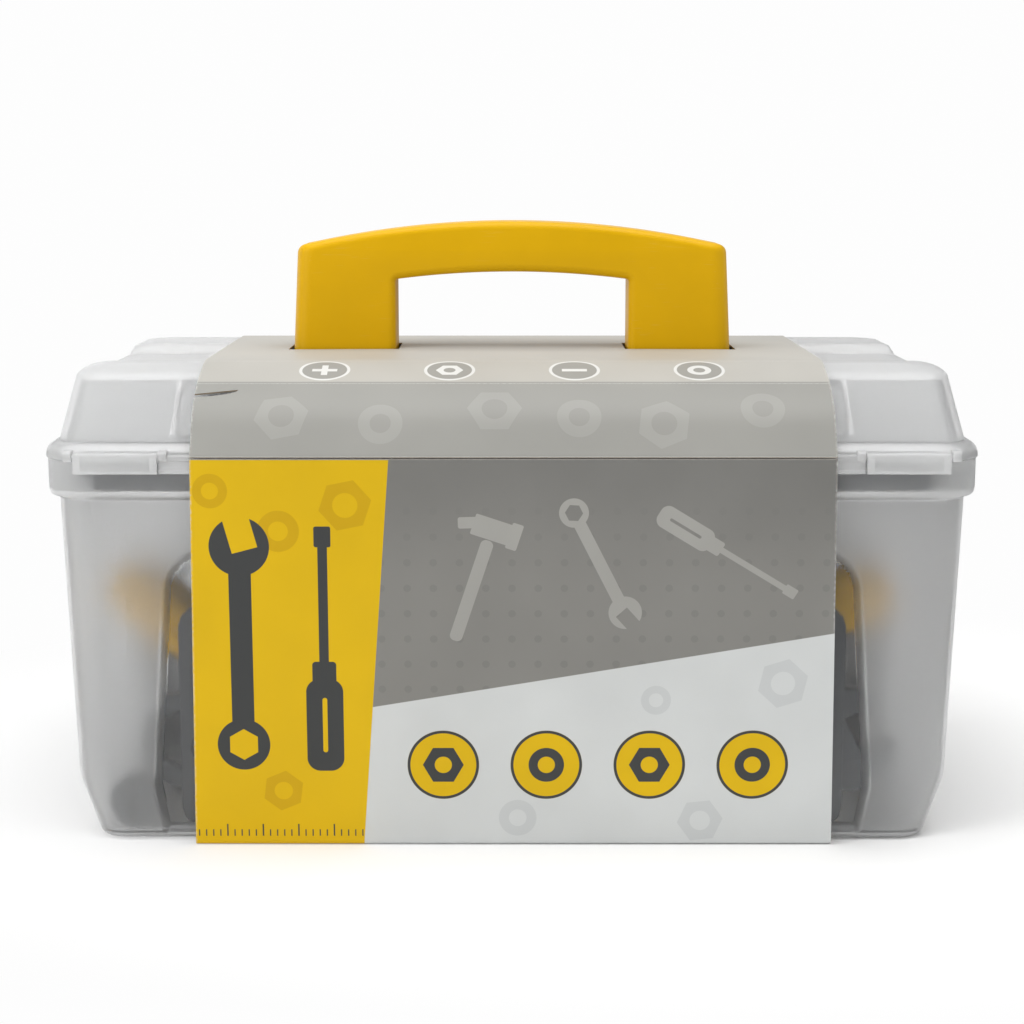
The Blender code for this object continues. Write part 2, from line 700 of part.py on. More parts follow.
def make_case():
    body = case_outer()
    hollow = case_cavity()
    for side, word in ((-1, "front"), (1, "back")):
        cut(body, panel_cutter(f"{word}_panel_cut", side, 0.0, 0.0))
        cut(hollow, panel_cutter(f"{word}_panel_wall", side, WALL, WALL))
    cut(body, hollow)
    for side in (-1, 1):
        middle = side * HINGE_X
        reach = (HINGE_LENGTH - HINGE_LUG) / 2
        for end in (-1, 1):
            join(body, hinge_lug(f"hinge_lug {side} {end}", middle + end * reach))
        join(body, rod(f"hinge_pin {side}", HINGE_PIN, middle - reach, middle + reach, "X",
                       (HINGE_Y, HINGE_Z), SMALL_ROUND_STEPS))
        catch_top = LATCH_AXIS_Z - LATCH_BARREL - CATCH_BELOW - FIT_GAP
        catch_half = LATCH_LENGTH / 2 - LATCH_RIB - FIT_GAP
        join(body, block(f"catch {side}",
                         (side * LATCH_X - catch_half, -RIM_HALF_WIDTH - CATCH_PROUD, catch_top - CATCH_HEIGHT),
                         (side * LATCH_X + catch_half, -RIM_HALF_WIDTH + WALL / 2, catch_top)))
    return place_in_parts(body, FROSTED)


def dome_sections(inset):
    """The lid's rising part, shrunk by a wall for its inside."""
    drop = inset
    sections = [
        (FLANGE_TOP - drop, DOME_BASE_HALF_LENGTH - inset, DOME_BASE_HALF_WIDTH - inset, DOME_CORNER - inset),
    ]
    for along, across, upward in LID_ROUND_shares:
        sections.append((
            BROW_Z + upward * LID_ROUND_HEIGHT - drop,
            BROW_HALF_LENGTH - along * LID_ROUND_LENGTH - inset,
            BROW_HALF_WIDTH - across * LID_ROUND_WIDTH - inset,
            DOME_CORNER - inset,
        ))
    return sections


def make_lid_outer():
    seat = (RIM_HALF_LENGTH + FLANGE_OVERHANG, RIM_HALF_WIDTH + FLANGE_OVERHANG, RIM_CORNER + FLANGE_OVERHANG)
    sections = [(LID_SEAT, *seat)]
    for inward, upward in arc((0, 0), FLANGE_ROUND, 0, math.pi / 2, FLANGE_ROUND_STEPS):
        sections.append((FLANGE_TOP - FLANGE_ROUND + upward, *(size - FLANGE_ROUND + inward for size in seat)))
    return stacked("lid_shell", (*sections, *dome_sections(0.0)))


def make_lid_hollow():
    under = (RIM_HALF_LENGTH - WALL - LID_LIP_GAP - LIP_WALL, RIM_HALF_WIDTH - WALL - LID_LIP_GAP - LIP_WALL,
             RIM_CORNER - WALL - LID_LIP_GAP - LIP_WALL)
    return stacked("lid_hollow", (
        (LID_SEAT - LIP_DEPTH - OVERRUN, *under),
        (FLANGE_TOP - 2 * WALL, *under),
        *dome_sections(WALL),
    ))


def channel_cutter(name, grow, half_length):
    """A long trough across the top of the lid, between its front and back humps."""
    floor = CHANNEL_Z - grow
    outline = [
        (-CHANNEL_FRONT - grow, floor), (CHANNEL_BACK + grow, floor),
        (CHANNEL_BACK + CHANNEL_SLOPE + grow, LID_TOP), (CHANNEL_BACK + CHANNEL_SLOPE + grow, LID_TOP + OVERRUN),
        (-CHANNEL_FRONT - CHANNEL_SLOPE - grow, LID_TOP + OVERRUN), (-CHANNEL_FRONT - CHANNEL_SLOPE - grow, LID_TOP),
    ]
    return sideways(plate(name, outline, 2 * half_length))


def lid_panel_cutter(name, inset, grow):
    """A shallow sunk panel that follows the lid's sloping front."""
    lean = (DOME_BASE_HALF_WIDTH - BROW_HALF_WIDTH) / BROW_RISE
    middle = FLANGE_TOP + BROW_RISE / 2
    rings = []
    for out, wider in ((OVERRUN, LID_PANEL_SLOPE), (0.0, LID_PANEL_SLOPE), (-LID_PANEL_DEPTH, 0.0)):
        outline = rounded_rectangle(LID_PANEL_HALF_LENGTH + grow + wider,
                                    BROW_RISE / 2 - LID_PANEL_MARGIN + grow + wider,
                                    LID_PANEL_CORNER + grow + wider)
        face = DOME_BASE_HALF_WIDTH - lean * BROW_RISE / 2
        rings.append([(x, -(face - lean * z + out - inset), middle + z) for x, z in outline])
    return loft(name, rings)


def scallop(name, side):
    """A shallow oval dip in the front of the back hump, at one end."""
    shape = bmesh.new()
    bmesh.ops.create_uvsphere(shape, u_segments=12, v_segments=8, radius=1)
    size = (SCALLOP_HALF_LENGTH, SCALLOP_HALF_WIDTH, SCALLOP_DEPTH * 2)
    bmesh.ops.scale(shape, vec=size, verts=shape.verts)
    centre = (side * SCALLOP_X, CHANNEL_BACK + CHANNEL_SLOPE + SCALLOP_HALF_WIDTH / 2, LID_TOP + SCALLOP_DEPTH)
    bmesh.ops.translate(shape, vec=centre, verts=shape.verts)
    return from_bmesh(name, shape)


def lid_lip():
    """The ring under the flange that keeps the lid inside the rim."""
    outer = (RIM_HALF_LENGTH - WALL - LID_LIP_GAP, RIM_HALF_WIDTH - WALL - LID_LIP_GAP,
             RIM_CORNER - WALL - LID_LIP_GAP)
    return stacked("lid_lip", ((LID_SEAT - LIP_DEPTH, *outer), (LID_SEAT + LIP_WALL, *outer)))


def lid_rail():
    """The bar that hangs over the rim's front between the latches, with a lip along its foot and its top."""
    inner = -(RIM_HALF_WIDTH + FIT_GAP)
    front = -RAIL_FRONT
    top = RAIL_BOTTOM + RAIL_HEIGHT
    step = RAIL_LIP / 2
    outline = [
        (inner, RAIL_BOTTOM), (front, RAIL_BOTTOM), (front, RAIL_BOTTOM + RAIL_LIP),
        (front + step, RAIL_BOTTOM + RAIL_LIP + step), (front + step, LID_SEAT), (front, LID_SEAT + step),
        (front, top - step), (front + step, top), (-RIM_HALF_WIDTH + WALL, top), (-RIM_HALF_WIDTH + WALL, LID_SEAT + step),
        (inner, LID_SEAT + step),
    ]
    half = LATCH_X - LATCH_LENGTH / 2 - LATCH_END_GAP - LUG_LENGTH / 2
    return sideways(plate("lid_rail", outline[::-1], 2 * half))


def latch_lug(name, x):
    """A block on the flange that holds one of a latch's pins."""
    front = LATCH_AXIS_Y - LUG_PROUD
    low = LID_SEAT + MERGE * 20
    body = moved(sideways(plate(name, [
        (front, low + LUG_PROUD / 2), (front + LUG_PROUD / 2, low), (-RIM_HALF_WIDTH + WALL, low),
        (-RIM_HALF_WIDTH + WALL, low + LUG_HEIGHT), (front + LUG_PROUD / 2, low + LUG_HEIGHT),
        (front, low + LUG_HEIGHT - LUG_PROUD / 2),
    ], LUG_LENGTH)), x)
    return body


def hinge_clip(name, x):
    """A hook that snaps over the hinge pin, with an arm to the lid's flange."""
    outer = CLIP_INNER + CLIP_WALL
    start = -math.pi / 2 + CLIP_MOUTH
    end = 3 * math.pi / 2 - CLIP_MOUTH
    outline = arc((HINGE_Y, HINGE_Z), outer, start, math.pi / 2, 7)
    outline += [(RIM_HALF_WIDTH - WALL / 2, HINGE_Z + outer), (RIM_HALF_WIDTH - WALL / 2, HINGE_Z + outer - CLIP_ARM)]
    outline += arc((HINGE_Y, HINGE_Z), outer, math.radians(158), end, 4)
    outline += arc((HINGE_Y, HINGE_Z), CLIP_INNER, end, start, 12)
    length = HINGE_LENGTH - 2 * HINGE_LUG - 2 * CLIP_SIDE_GAP
    return moved(sideways(plate(name, outline, length)), x)


def make_lid():
    lid = make_lid_outer()
    hollow = make_lid_hollow()
    full = 2 * RIM_HALF_LENGTH
    cut(lid, channel_cutter("channel_cut", 0.0, full), lid_panel_cutter("lid_panel_cut", 0.0, 0.0))
    cut(hollow, channel_cutter("channel_floor", WALL, full), lid_panel_cutter("lid_panel_wall", WALL, WALL))
    for side in (-1, 1):
        cut(lid, scallop(f"scallop {side}", side))
    join(lid, lid_lip())
    cut(lid, hollow)
    join(lid, lid_rail())
    for side in (-1, 1):
        middle = side * LATCH_X
        reach = LATCH_LENGTH / 2 + LATCH_END_GAP
        pocket_low = (middle - reach, -RAIL_FRONT - OVERRUN, LID_SEAT - OVERRUN)
        pocket_back = LATCH_AXIS_Y + LATCH_BARREL + FIT_GAP
        pocket_high = (middle + reach, pocket_back, LATCH_AXIS_Z + LATCH_BARREL + FIT_GAP)
        cut(lid, block(f"latch_pocket {side}", pocket_low, pocket_high))
        for end in (-1, 1):
            join(lid, latch_lug(f"latch_lug {side} {end}", middle + end * (reach + LUG_LENGTH / 2)))
        hole = reach + LATCH_PIN_LENGTH + FIT_GAP
        cut(lid, rod(f"latch_pin_hole {side}", LATCH_PIN + FIT_GAP, middle - hole, middle + hole, "X",
                     (LATCH_AXIS_Y, LATCH_AXIS_Z), SMALL_ROUND_STEPS))
        join(lid, hinge_clip(f"hinge_clip {side}", side * HINGE_X))
        cut(lid, rod(f"screw_hole {side}", SCREW_SHANK + FIT_GAP, CHANNEL_Z - 2 * WALL, CHANNEL_Z + OVERRUN,
                     "Z", (side * handle_screw_x(), 0)))
    return place_in_parts(lid, FROSTED)


def handle_screw_x():
    return (HANDLE_HALF_LENGTH + HANDLE_WINDOW_HALF_LENGTH) / 2


def latch_outline():
    """A latch's section round its pivot at the origin, as (y, z) with the front at -y."""
    foot = RAIL_BOTTOM - LATCH_AXIS_Z
    outer = -LATCH_BARREL
    inner = outer + LATCH_PLATE
    nib_tip = -RIM_HALF_WIDTH - CATCH_PROUD - FIT_GAP - LATCH_AXIS_Y
    nib_top = -LATCH_BARREL - CATCH_BELOW - CATCH_HEIGHT - 2 * FIT_GAP
    nib_low = nib_top - CATCH_NIB_HEIGHT
    points = arc((0, 0), LATCH_BARREL, math.radians(-60), math.radians(180), 9)
    points += [
        (outer, foot + LATCH_LIP_HEIGHT + LATCH_LIP), (outer - LATCH_LIP / 2, foot + LATCH_LIP_HEIGHT),
        (outer - LATCH_LIP / 2, foot), (inner, foot), (inner, nib_low - CATCH_NIB_HEIGHT / 2), (nib_tip, nib_low),
        (nib_tip, nib_top), (inner, nib_top),
    ]
    return points


def make_latch(name, side):
    """A latch with end ribs, a finger lip, a catch nib and a pin at each end."""
    latch = sideways(plate(name, latch_outline(), LATCH_LENGTH))
    foot = RAIL_BOTTOM - LATCH_AXIS_Z
    for end in (-1, 1):
        near = end * (LATCH_LENGTH / 2 - LATCH_RIB)
        far = end * LATCH_LENGTH / 2
        join(latch, block(f"{name} rib {end}",
                          (min(near, far), -LATCH_BARREL - LATCH_LIP / 2, foot),
                          (max(near, far), -LATCH_BARREL + LATCH_PLATE, LATCH_BARREL / 6)))
    pin_reach = LATCH_LENGTH / 2 + LATCH_END_GAP + LATCH_PIN_LENGTH
    join(latch, rod(f"{name} pins", LATCH_PIN, -pin_reach, pin_reach, "X", (0, 0), SMALL_ROUND_STEPS))
    settled(latch)
    latch.location = (side * LATCH_X, LATCH_AXIS_Y, LATCH_AXIS_Z)
    return place_in_parts(latch, FROSTED)


def bow(half_length, crown, low, steps):
    """Points along a shallow arch from +x to -x that rises by its crown above its ends."""
    radius = (half_length ** 2 + crown ** 2) / (2 * crown)
    spread = math.asin(half_length / radius)
    start = math.pi / 2 - spread
    return arc((0, low + crown - radius), radius, start, math.pi - start, steps)


def make_handle():
    """The moulded handle: two broad feet that flare a little and an arched grip, all edges rounded."""
    foot = -HANDLE_ROUND
    top_half = HANDLE_HALF_LENGTH - HANDLE_FLARE
    shoulder = HANDLE_CORNER_Z - HANDLE_OUTER_CORNER
    lift = HANDLE_OUTER_CORNER / 4
    outline = [(HANDLE_HALF_LENGTH, foot)]
    outline += arc((top_half - HANDLE_OUTER_CORNER, shoulder + lift), HANDLE_OUTER_CORNER, 0, math.radians(78), 4)
    outline += bow(top_half - HANDLE_OUTER_CORNER, HANDLE_CROWN - lift, HANDLE_CORNER_Z + lift, 14)[1:-1]
    outline += [(-x, z) for x, z in reversed(outline[:6])]
    inner = HANDLE_WINDOW_HALF_LENGTH
    corner = HANDLE_INNER_CORNER
    window = [(-inner, foot)]
    window += arc((-inner + corner, HANDLE_WINDOW_Z - corner), corner, math.pi, math.pi / 2, 2)
    window += bow(inner - corner, HANDLE_WINDOW_CROWN, HANDLE_WINDOW_Z, 10)[::-1][1:-1]
    window += [(-x, z) for x, z in reversed(window[:4])]
    handle = upright(plate("carry_handle", outline + window, HANDLE_WIDTH, edge=HANDLE_ROUND))
    below = block("handle_foot_cut", (-HANDLE_HALF_LENGTH - OVERRUN, -HANDLE_WIDTH, -2 * OVERRUN),
                  (HANDLE_HALF_LENGTH + OVERRUN, HANDLE_WIDTH, 0))
    cut(handle, below)
    for side in (-1, 1):
        cut(handle, rod(f"pilot {side}", SCREW_SHANK + FIT_GAP, -OVERRUN, SCREW_LENGTH,
                        "Z", (side * handle_screw_x(), 0)))
    settled(handle)
    moved(handle, z=HANDLE_FOOT_Z)
    return place_in_parts(handle, YELLOW)


def make_screw(name, side):
    """A pan-head screw, driven up through the lid into the handle's foot."""
    head = SCREW_HEAD_HEIGHT
    top = WALL + SCREW_LENGTH - 2 * FIT_GAP
    profile = [
        (0, top), (SCREW_SHANK / 2, top), (SCREW_SHANK, top - SCREW_SHANK), (SCREW_SHANK, 0), (SCREW_HEAD, 0),
        (SCREW_HEAD, -head / 2), (SCREW_HEAD * 3 / 4, -head), (0, -head),
    ]
    screw = turned(name, profile, ROUND_STEPS)
    cut(screw, block(f"{name} slot", (-SCREW_HEAD - OVERRUN, -SCREW_SLOT / 2, -head - OVERRUN),
                     (SCREW_HEAD + OVERRUN, SCREW_SLOT / 2, -head + SCREW_SLOT_DEPTH)))
    settled(screw)
    screw.location = (side * handle_screw_x(), 0, CHANNEL_Z - WALL - FIT_GAP)
    return place_in_parts(screw, STEEL)


def card_half_length(height):
    """The card widens a little from the crease down to the base."""
    crease = crease_place()[1]
    return SLEEVE_HALF_LENGTH + SLEEVE_FLARE * max(0, crease - height) / crease


def card_strip(name, path):
    """Card bent along a path of (y, z), running the sleeve's length, with its thickness outwards."""
    shape = bmesh.new()
    ends = [
        [shape.verts.new((SLEEVE_SHIFT + side * card_half_length(z), y, z)) for y, z in path] for side in (-1, 1)
    ]
    for low_a, low_b, high_a, high_b in zip(ends[0], ends[0][1:], ends[1], ends[1][1:]):
        shape.faces.new((low_a, low_b, high_b, high_a))
    strip = from_bmesh(name, shape)
    solid = strip.modifiers.new("card", "SOLIDIFY")
    solid.thickness = CARD
    solid.offset = 1
    solid.use_even_offset = True
    return strip


def crease_place():
    """The fold at the rim, on the sleeve's inner face, as a distance from the middle and a height."""
    return RAIL_FRONT + SLEEVE_EASE - FIT_GAP, RIM_TOP + SLEEVE_CREASE_ABOVE_RIM


def bent(points, reach, steps):
    """The same path with a smooth curve, that far each way, in place of each inner corner."""
    points = [Vector(point) for point in points]
    made = [points[0]]
    for before, here, after in zip(points, points[1:], points[2:]):
        start = here + (before - here).normalized() * reach
        end = here + (after - here).normalized() * reach
        for step in range(steps + 1):
            t = step / steps
            made.append(start * (1 - t) ** 2 + here * 2 * t * (1 - t) + end * t ** 2)
    return [tuple(point) for point in (*made, points[-1])]


def make_sleeve_lower():
    """The sleeve's walls and base, up to the crease at the rim, along which it was opened."""
    crease_y, crease_z = crease_place()
    base = WALL_TOP_HALF_WIDTH + SLEEVE_BASE_PROUD - CARD
    radius = SLEEVE_FOLD_RADIUS
    right = arc((base - radius, CARD + radius), radius, -math.pi / 2, 0, 3)
    right.append((crease_y, crease_z - FIT_GAP / 2))
    left = [(-y, z) for y, z in reversed(right)]
    return place_in_parts(card_strip("sleeve_lower", left + right), CARDBOARD)


def make_sleeve_upper():
    """The sleeve over the lid, with a window round each foot of the handle."""
    crease_y, crease_z = crease_place()
    top = LID_TOP + FIT_GAP
    right = bent([
        (crease_y, crease_z + FIT_GAP / 2),
        (DOME_BASE_HALF_WIDTH + SLEEVE_BULGE_EASE - CARD, crease_z + SLEEVE_BULGE_RISE),
        (BROW_HALF_WIDTH + SLEEVE_SHOULDER_PROUD, top - SLEEVE_SHOULDER_DROP),
        (LID_TOP_HALF_WIDTH + SLEEVE_TOP_EASE, top),
    ], SLEEVE_BEND_REACH, SLEEVE_BEND_STEPS)
    left = [(-y, z) for y, z in reversed(right)]
    sleeve = card_strip("sleeve_upper", right + left)
    for side in (-1, 1):
        low = HANDLE_WINDOW_HALF_LENGTH - SLEEVE_WINDOW_EASE
        high = HANDLE_HALF_LENGTH + SLEEVE_WINDOW_EASE
        half = HANDLE_WIDTH / 2 + SLEEVE_WINDOW_EASE
        cut(sleeve, block(f"foot_window {side}", (min(side * low, side * high), -half, top - OVERRUN / 2),
                          (max(side * low, side * high), half, top + OVERRUN)))
    return place_in_parts(sleeve, CARDBOARD)


def board_outline(inset):
    """A long octagon with a notch at each side of the middle on both long edges."""
    half_x, half_y = BOARD_HALF_LENGTH - inset, BOARD_HALF_WIDTH - inset
    corner_x, corner_y = half_x - BOARD_CUT_X, half_y - BOARD_CUT_Y
    half_notch = BOARD_NOTCH_LENGTH / 2 + inset
    quarter = [(half_x, corner_y), (corner_x, half_y)]
    for x in (BOARD_NOTCH_X + half_notch, BOARD_NOTCH_X - half_notch):
        quarter.append((x, half_y))
    deep = half_y - BOARD_NOTCH_DEPTH
    quarter[3:3] = [(quarter[2][0] - BOARD_NOTCH_DEPTH, deep), (quarter[3][0] + BOARD_NOTCH_DEPTH, deep)]
    top = quarter + [(-x, y) for x, y in reversed(quarter)]
    return top + [(-x, -y) for x, y in top]


def board_holes():
    """Hole centres in columns of two and three."""
    places = []
    for column, count in enumerate(BOARD_COLUMNS):
        x = (column - (len(BOARD_COLUMNS) - 1) / 2) * BOARD_PITCH_X
        places += [(x, (row - (count - 1) / 2) * BOARD_PITCH_Y) for row in range(count)]
    return places


def make_board():
    """The pegboard: a moulded tray turned over, with a boss round each hole."""
    board = plate("perforated_board", board_outline(0.0), BOARD_THICKNESS)
    under = plate("board_hollow", board_outline(BOARD_WALL), BOARD_THICKNESS)
    moved(under, z=-BOARD_SKIN)
    rim = BOARD_HOLE + BOARD_BOSS_WALL
    half = BOARD_THICKNESS / 2
    for number, place in enumerate(board_holes()):
        cut(under, rod(f"boss {number}", rim, -2 * half, 2 * half, "Z", place, BOARD_HOLE_STEPS))
    cut(board, under)
    for number, place in enumerate(board_holes()):
        cut(board, rod(f"board_hole {number}", BOARD_HOLE, -2 * half, 2 * half, "Z", place, BOARD_HOLE_STEPS))
    settled(board)
    board.location.z = BOARD_Z + half
    return place_in_parts(board, GRAPHITE)


def along_x(name, sections, steps):
    """A loft along X of ellipses, each a place, a half height and a half width."""
    rings = []
    for x, half_z, half_y in sections:
        rings.append([(x, half_y * c, half_z * s) for c, s in circle(1, steps)])
    return loft(name, rings)


def make_hammer():
    """A claw hammer; the grip runs along +X from the head at the origin."""
    neck = HAMMER_HEAD_HEIGHT / 2
    grip_sections = [(-neck + FIT_GAP, HAMMER_TENON_RADIUS, HAMMER_TENON_RADIUS),
                     (neck + FIT_GAP, HAMMER_TENON_RADIUS, HAMMER_TENON_RADIUS),
                     (neck + FIT_GAP + MERGE * 20, HAMMER_NECK_RADIUS, HAMMER_NECK_RADIUS)]
    for along, wide in HAMMER_GRIP_shares:
        radius = wide * HAMMER_GRIP_RADIUS
        grip_sections.append((along * HAMMER_LENGTH, radius, radius * HAMMER_FLAT_share))
    grip = along_x("hammer_handle", grip_sections, ROUND_STEPS)
    half = HAMMER_HEAD_HEIGHT / 2
    length = HAMMER_HEAD_LENGTH
    cheek = half * HAMMER_CHEEK_share
    neck_end = length * HAMMER_NECK_END_share
    claw = [(length * along, half * up) for along, up in HAMMER_CLAW_shares]
    claw_under = [(length * along, half * up) for along, up in HAMMER_CLAW_UNDER_shares]
    outline = [(neck_end, cheek)] + claw[::-1] + claw_under[::-1] + [(neck_end, -cheek)]
    head = plate("hammer_head", [(-z, x) for x, z in outline], HAMMER_HEAD_WIDTH, edge=HAMMER_ROUND)
    upright(head)
    face_end = length * HAMMER_FACE_END_share
    face = rod("hammer_face", HAMMER_FACE_RADIUS, face_end - HAMMER_FACE_LENGTH, face_end, "Z", (0, 0), ROUND_STEPS)
    join(head, face)
    slit = block("claw_slit", (-length, -HAMMER_ROUND, -length), (half * 2, HAMMER_ROUND, -length * HAMMER_SLIT_share))
    eye = rod("hammer_eye", HAMMER_TENON_RADIUS + FIT_GAP, -half * 2, half * 2, "X", (0, 0), ROUND_STEPS)
    cut(head, slit, eye)
    settled(head)
    place_in_parts(grip, YELLOW)
    place_in_parts(head, GRAPHITE)
    group("hammer", (grip, head), HAMMER_PLACE_shares, (0, -HAMMER_TILT, 0))
    return grip, head


def make_screwdriver(names, shares, turn, cross):
    """A screwdriver along +X with its tip at the origin: a fluted grip over a round shaft."""
    grip_start = DRIVER_SHAFT_LENGTH
    rings = []
    steps = DRIVER_FLUTES * 3
    for along, wide, fluted in DRIVER_GRIP_shares:
        ring = []
        for c, s in circle(1, steps):
            depth = DRIVER_FLUTE_DEPTH_share * fluted * (1 + math.cos(DRIVER_FLUTES * math.atan2(s, c))) / 2
            radius = DRIVER_GRIP_RADIUS * wide * (1 - depth)
            ring.append((grip_start + along * DRIVER_GRIP_LENGTH, radius * c, radius * s))
        rings.append(ring)
    grip = loft(names[0], rings)
    socket = DRIVER_SHAFT_RADIUS + FIT_GAP
    cut(grip, rod(f"{names[0]} socket", socket, grip_start - OVERRUN, grip_start + DRIVER_SOCKET_DEPTH, "X",
                  (0, 0), SMALL_ROUND_STEPS))
    width = DRIVER_SHAFT_RADIUS if cross else DRIVER_TIP_WIDTH
    thin = DRIVER_TIP_THICKNESS * 2 if cross else DRIVER_TIP_THICKNESS
    shaft = along_x(names[1], (
        (0, thin, width if not cross else thin), (DRIVER_TIP_LENGTH / 3, thin if not cross else width, width),
        (DRIVER_TIP_LENGTH, DRIVER_SHAFT_RADIUS, DRIVER_SHAFT_RADIUS),
        (grip_start + DRIVER_SOCKET_DEPTH - FIT_GAP, DRIVER_SHAFT_RADIUS, DRIVER_SHAFT_RADIUS),
    ), SMALL_ROUND_STEPS)
    place_in_parts(settled(grip), YELLOW)
    place_in_parts(shaft, GRAPHITE)
    group(names[0].replace("_handle", ""), (grip, shaft), shares, turn)
    return grip, shaft


def spanner_bar(start, half_width):
    """The far end of a spanner's bar, rounded, for an outline that returns to its head."""
    end = SPANNER_LENGTH - SPANNER_BUTT
    butt = arc((end, 0), SPANNER_BUTT, math.radians(-60), math.radians(60), 6)
    return [(start, -half_width)] + butt + [(start, half_width)]


def make_ring_spanner():
    half = SPANNER_BAR / 2
    meet = math.asin(half / RING_RADIUS)
    ring = arc((0, 0), RING_RADIUS, meet, math.tau - meet, ROUND_STEPS)
    outline = ring + spanner_bar(RING_RADIUS * 3 / 2, half * 4 / 5)
    hole = circle(RING_HOLE, 12)
    spanner = plate("ring_spanner", outline, SPANNER_THICKNESS, holes=(hole,), edge=SPANNER_ROUND)
    upright(spanner)
    place_in_parts(spanner, GRAPHITE)
    group("ring_spanner_place", (spanner,), RING_SPANNER_PLACE_shares, (0, SPANNER_TILT, 0))
    return spanner


def make_open_spanner():
    half = SPANNER_BAR / 2
    meet = math.asin(half / JAW_RADIUS)
    mouth = math.asin(JAW_GAP / 2 / JAW_RADIUS)
    centre = math.pi - JAW_TURN
    side_a = arc((0, 0), JAW_RADIUS, meet, centre - mouth, 7)
    side_b = arc((0, 0), JAW_RADIUS, centre + mouth, math.tau - meet, 7)
    inward = (-math.cos(centre) * JAW_DEPTH, -math.sin(centre) * JAW_DEPTH)
    floor_a = (side_a[-1][0] + inward[0], side_a[-1][1] + inward[1])
    floor_b = (side_b[0][0] + inward[0], side_b[0][1] + inward[1])
    outline = side_a + [floor_a, floor_b] + side_b + spanner_bar(JAW_RADIUS * 3 / 2, half * 4 / 5)
    spanner = plate("open_spanner", outline, SPANNER_THICKNESS, edge=SPANNER_ROUND)
    upright(spanner)
    place_in_parts(spanner, GRAPHITE)
    group("open_spanner_place", (spanner,), OPEN_SPANNER_PLACE_shares, (0, SPANNER_TILT, math.pi))
    return spanner


def pliers_outline():
    """One half of the pliers round its pivot: a jaw above +X and a bowed grip below -X."""
    gap = FIT_GAP / 2
    disc = PLIERS_DISC
    taper_length, taper_width = PLIERS_JAW_TAPER_shares
    points = [(disc * PLIERS_JAW_ROOT_share, gap), (PLIERS_JAW_LENGTH, gap),
              (PLIERS_JAW_LENGTH, gap + PLIERS_TIP_WIDTH)]
    points += [(PLIERS_JAW_LENGTH * taper_length, PLIERS_JAW_WIDTH * taper_width),
               (disc * PLIERS_JAW_SHOULDER_share, PLIERS_JAW_WIDTH)]
    points += arc((0, 0), disc, math.radians(50), math.radians(176), 7)
    under = [(-along * PLIERS_GRIP_LENGTH, -bow_share * PLIERS_GRIP_BOW) for along, bow_share in PLIERS_GRIP_shares]
    points += under
    points += [(x, y - PLIERS_GRIP_WIDTH) for x, y in reversed(under[1:])]
    points += arc((0, 0), disc, math.radians(228), math.radians(330), 6)
    return points


def make_pliers():
    """Two crossing halves lapped at the pivot, and the rivet that holds them."""
    halves = []
    for name, flip in (("pliers_moving_half", 1), ("pliers_fixed_half", -1)):
        outline = [(x, y * flip) for x, y in pliers_outline()][::flip]
        half = plate(name, outline, PLIERS_THICKNESS)
        top = PLIERS_THICKNESS
        span = (-FIT_GAP / 2, top) if flip == 1 else (-top, FIT_GAP / 2)
        lap = rod(f"{name} lap", PLIERS_DISC + PLIERS_DISC_GAP, *span, "Z", (0, 0), 24)
        bore = rod(f"{name} bore", PLIERS_RIVET + FIT_GAP, -top, top, "Z", (0, 0), ROUND_STEPS)
        cut(half, lap, bore)
        halves.append(place_in_parts(settled(half), GRAPHITE))
    half_height = PLIERS_THICKNESS / 2 + FIT_GAP
    head = PLIERS_RIVET_HEAD
    crown = head * PLIERS_HEAD_CROWN_share
    tall = half_height + PLIERS_RIVET_HEAD_HEIGHT
    rivet = turned("pliers_rivet", [
        (0, tall), (crown, tall), (head, half_height), (PLIERS_RIVET, half_height), (PLIERS_RIVET, -half_height),
        (head, -half_height), (crown, -tall), (0, -tall),
    ], ROUND_STEPS)
    place_in_parts(rivet, STEEL)
    group("pliers", (*halves, rivet), PLIERS_PLACE_shares, (0, 0, math.pi))
    return halves, rivet


def make_saw():
    """A toy saw: a closed yellow grip with a slot for the toothed blade."""
    half_x, half_z = SAW_GRIP_LENGTH / 2, SAW_GRIP_HEIGHT / 2
    wall = SAW_GRIP_WALL
    window = rounded_rectangle(half_x - wall, half_z - wall, SAW_GRIP_CORNER / 2, 3)
    grip = plate("saw_handle", rounded_rectangle(half_x, half_z, SAW_GRIP_CORNER, 4), SAW_GRIP_THICKNESS,
                 holes=(window,), edge=SAW_GRIP_ROUND)
    start = -half_x + SAW_BLADE_TENON
    end = -half_x - SAW_BLADE_LENGTH
    half_blade = SAW_BLADE_HEIGHT / 2
    heel = -half_x - SAW_BLADE_TENON
    pitch = (heel - end) / SAW_TEETH
    teeth = []
    for tooth in range(SAW_TEETH):
        x = end + tooth * pitch
        teeth += [(x, -half_blade + SAW_TOOTH), (x + pitch * 3 / 5, -half_blade)]
    outline = teeth + [(heel, -half_blade + SAW_TOOTH), (start, -half_blade + SAW_TOOTH), (start, half_blade),
                       (heel, half_blade), (end, -half_blade + SAW_BLADE_TIP)]
    blade = plate("saw_blade", outline, SAW_BLADE_THICKNESS)
    half_slot = SAW_BLADE_THICKNESS / 2 + FIT_GAP
    slot = block("saw_slot", (-half_x - OVERRUN, -half_blade + SAW_TOOTH - FIT_GAP, -half_slot),
                 (start + FIT_GAP, half_blade + FIT_GAP, half_slot))
    cut(grip, slot)
    place_in_parts(settled(grip), YELLOW)
    place_in_parts(blade, GRAPHITE)
    group("saw", (grip, blade), SAW_PLACE_shares, (math.pi / 2, 0, 0))
    return grip, blade


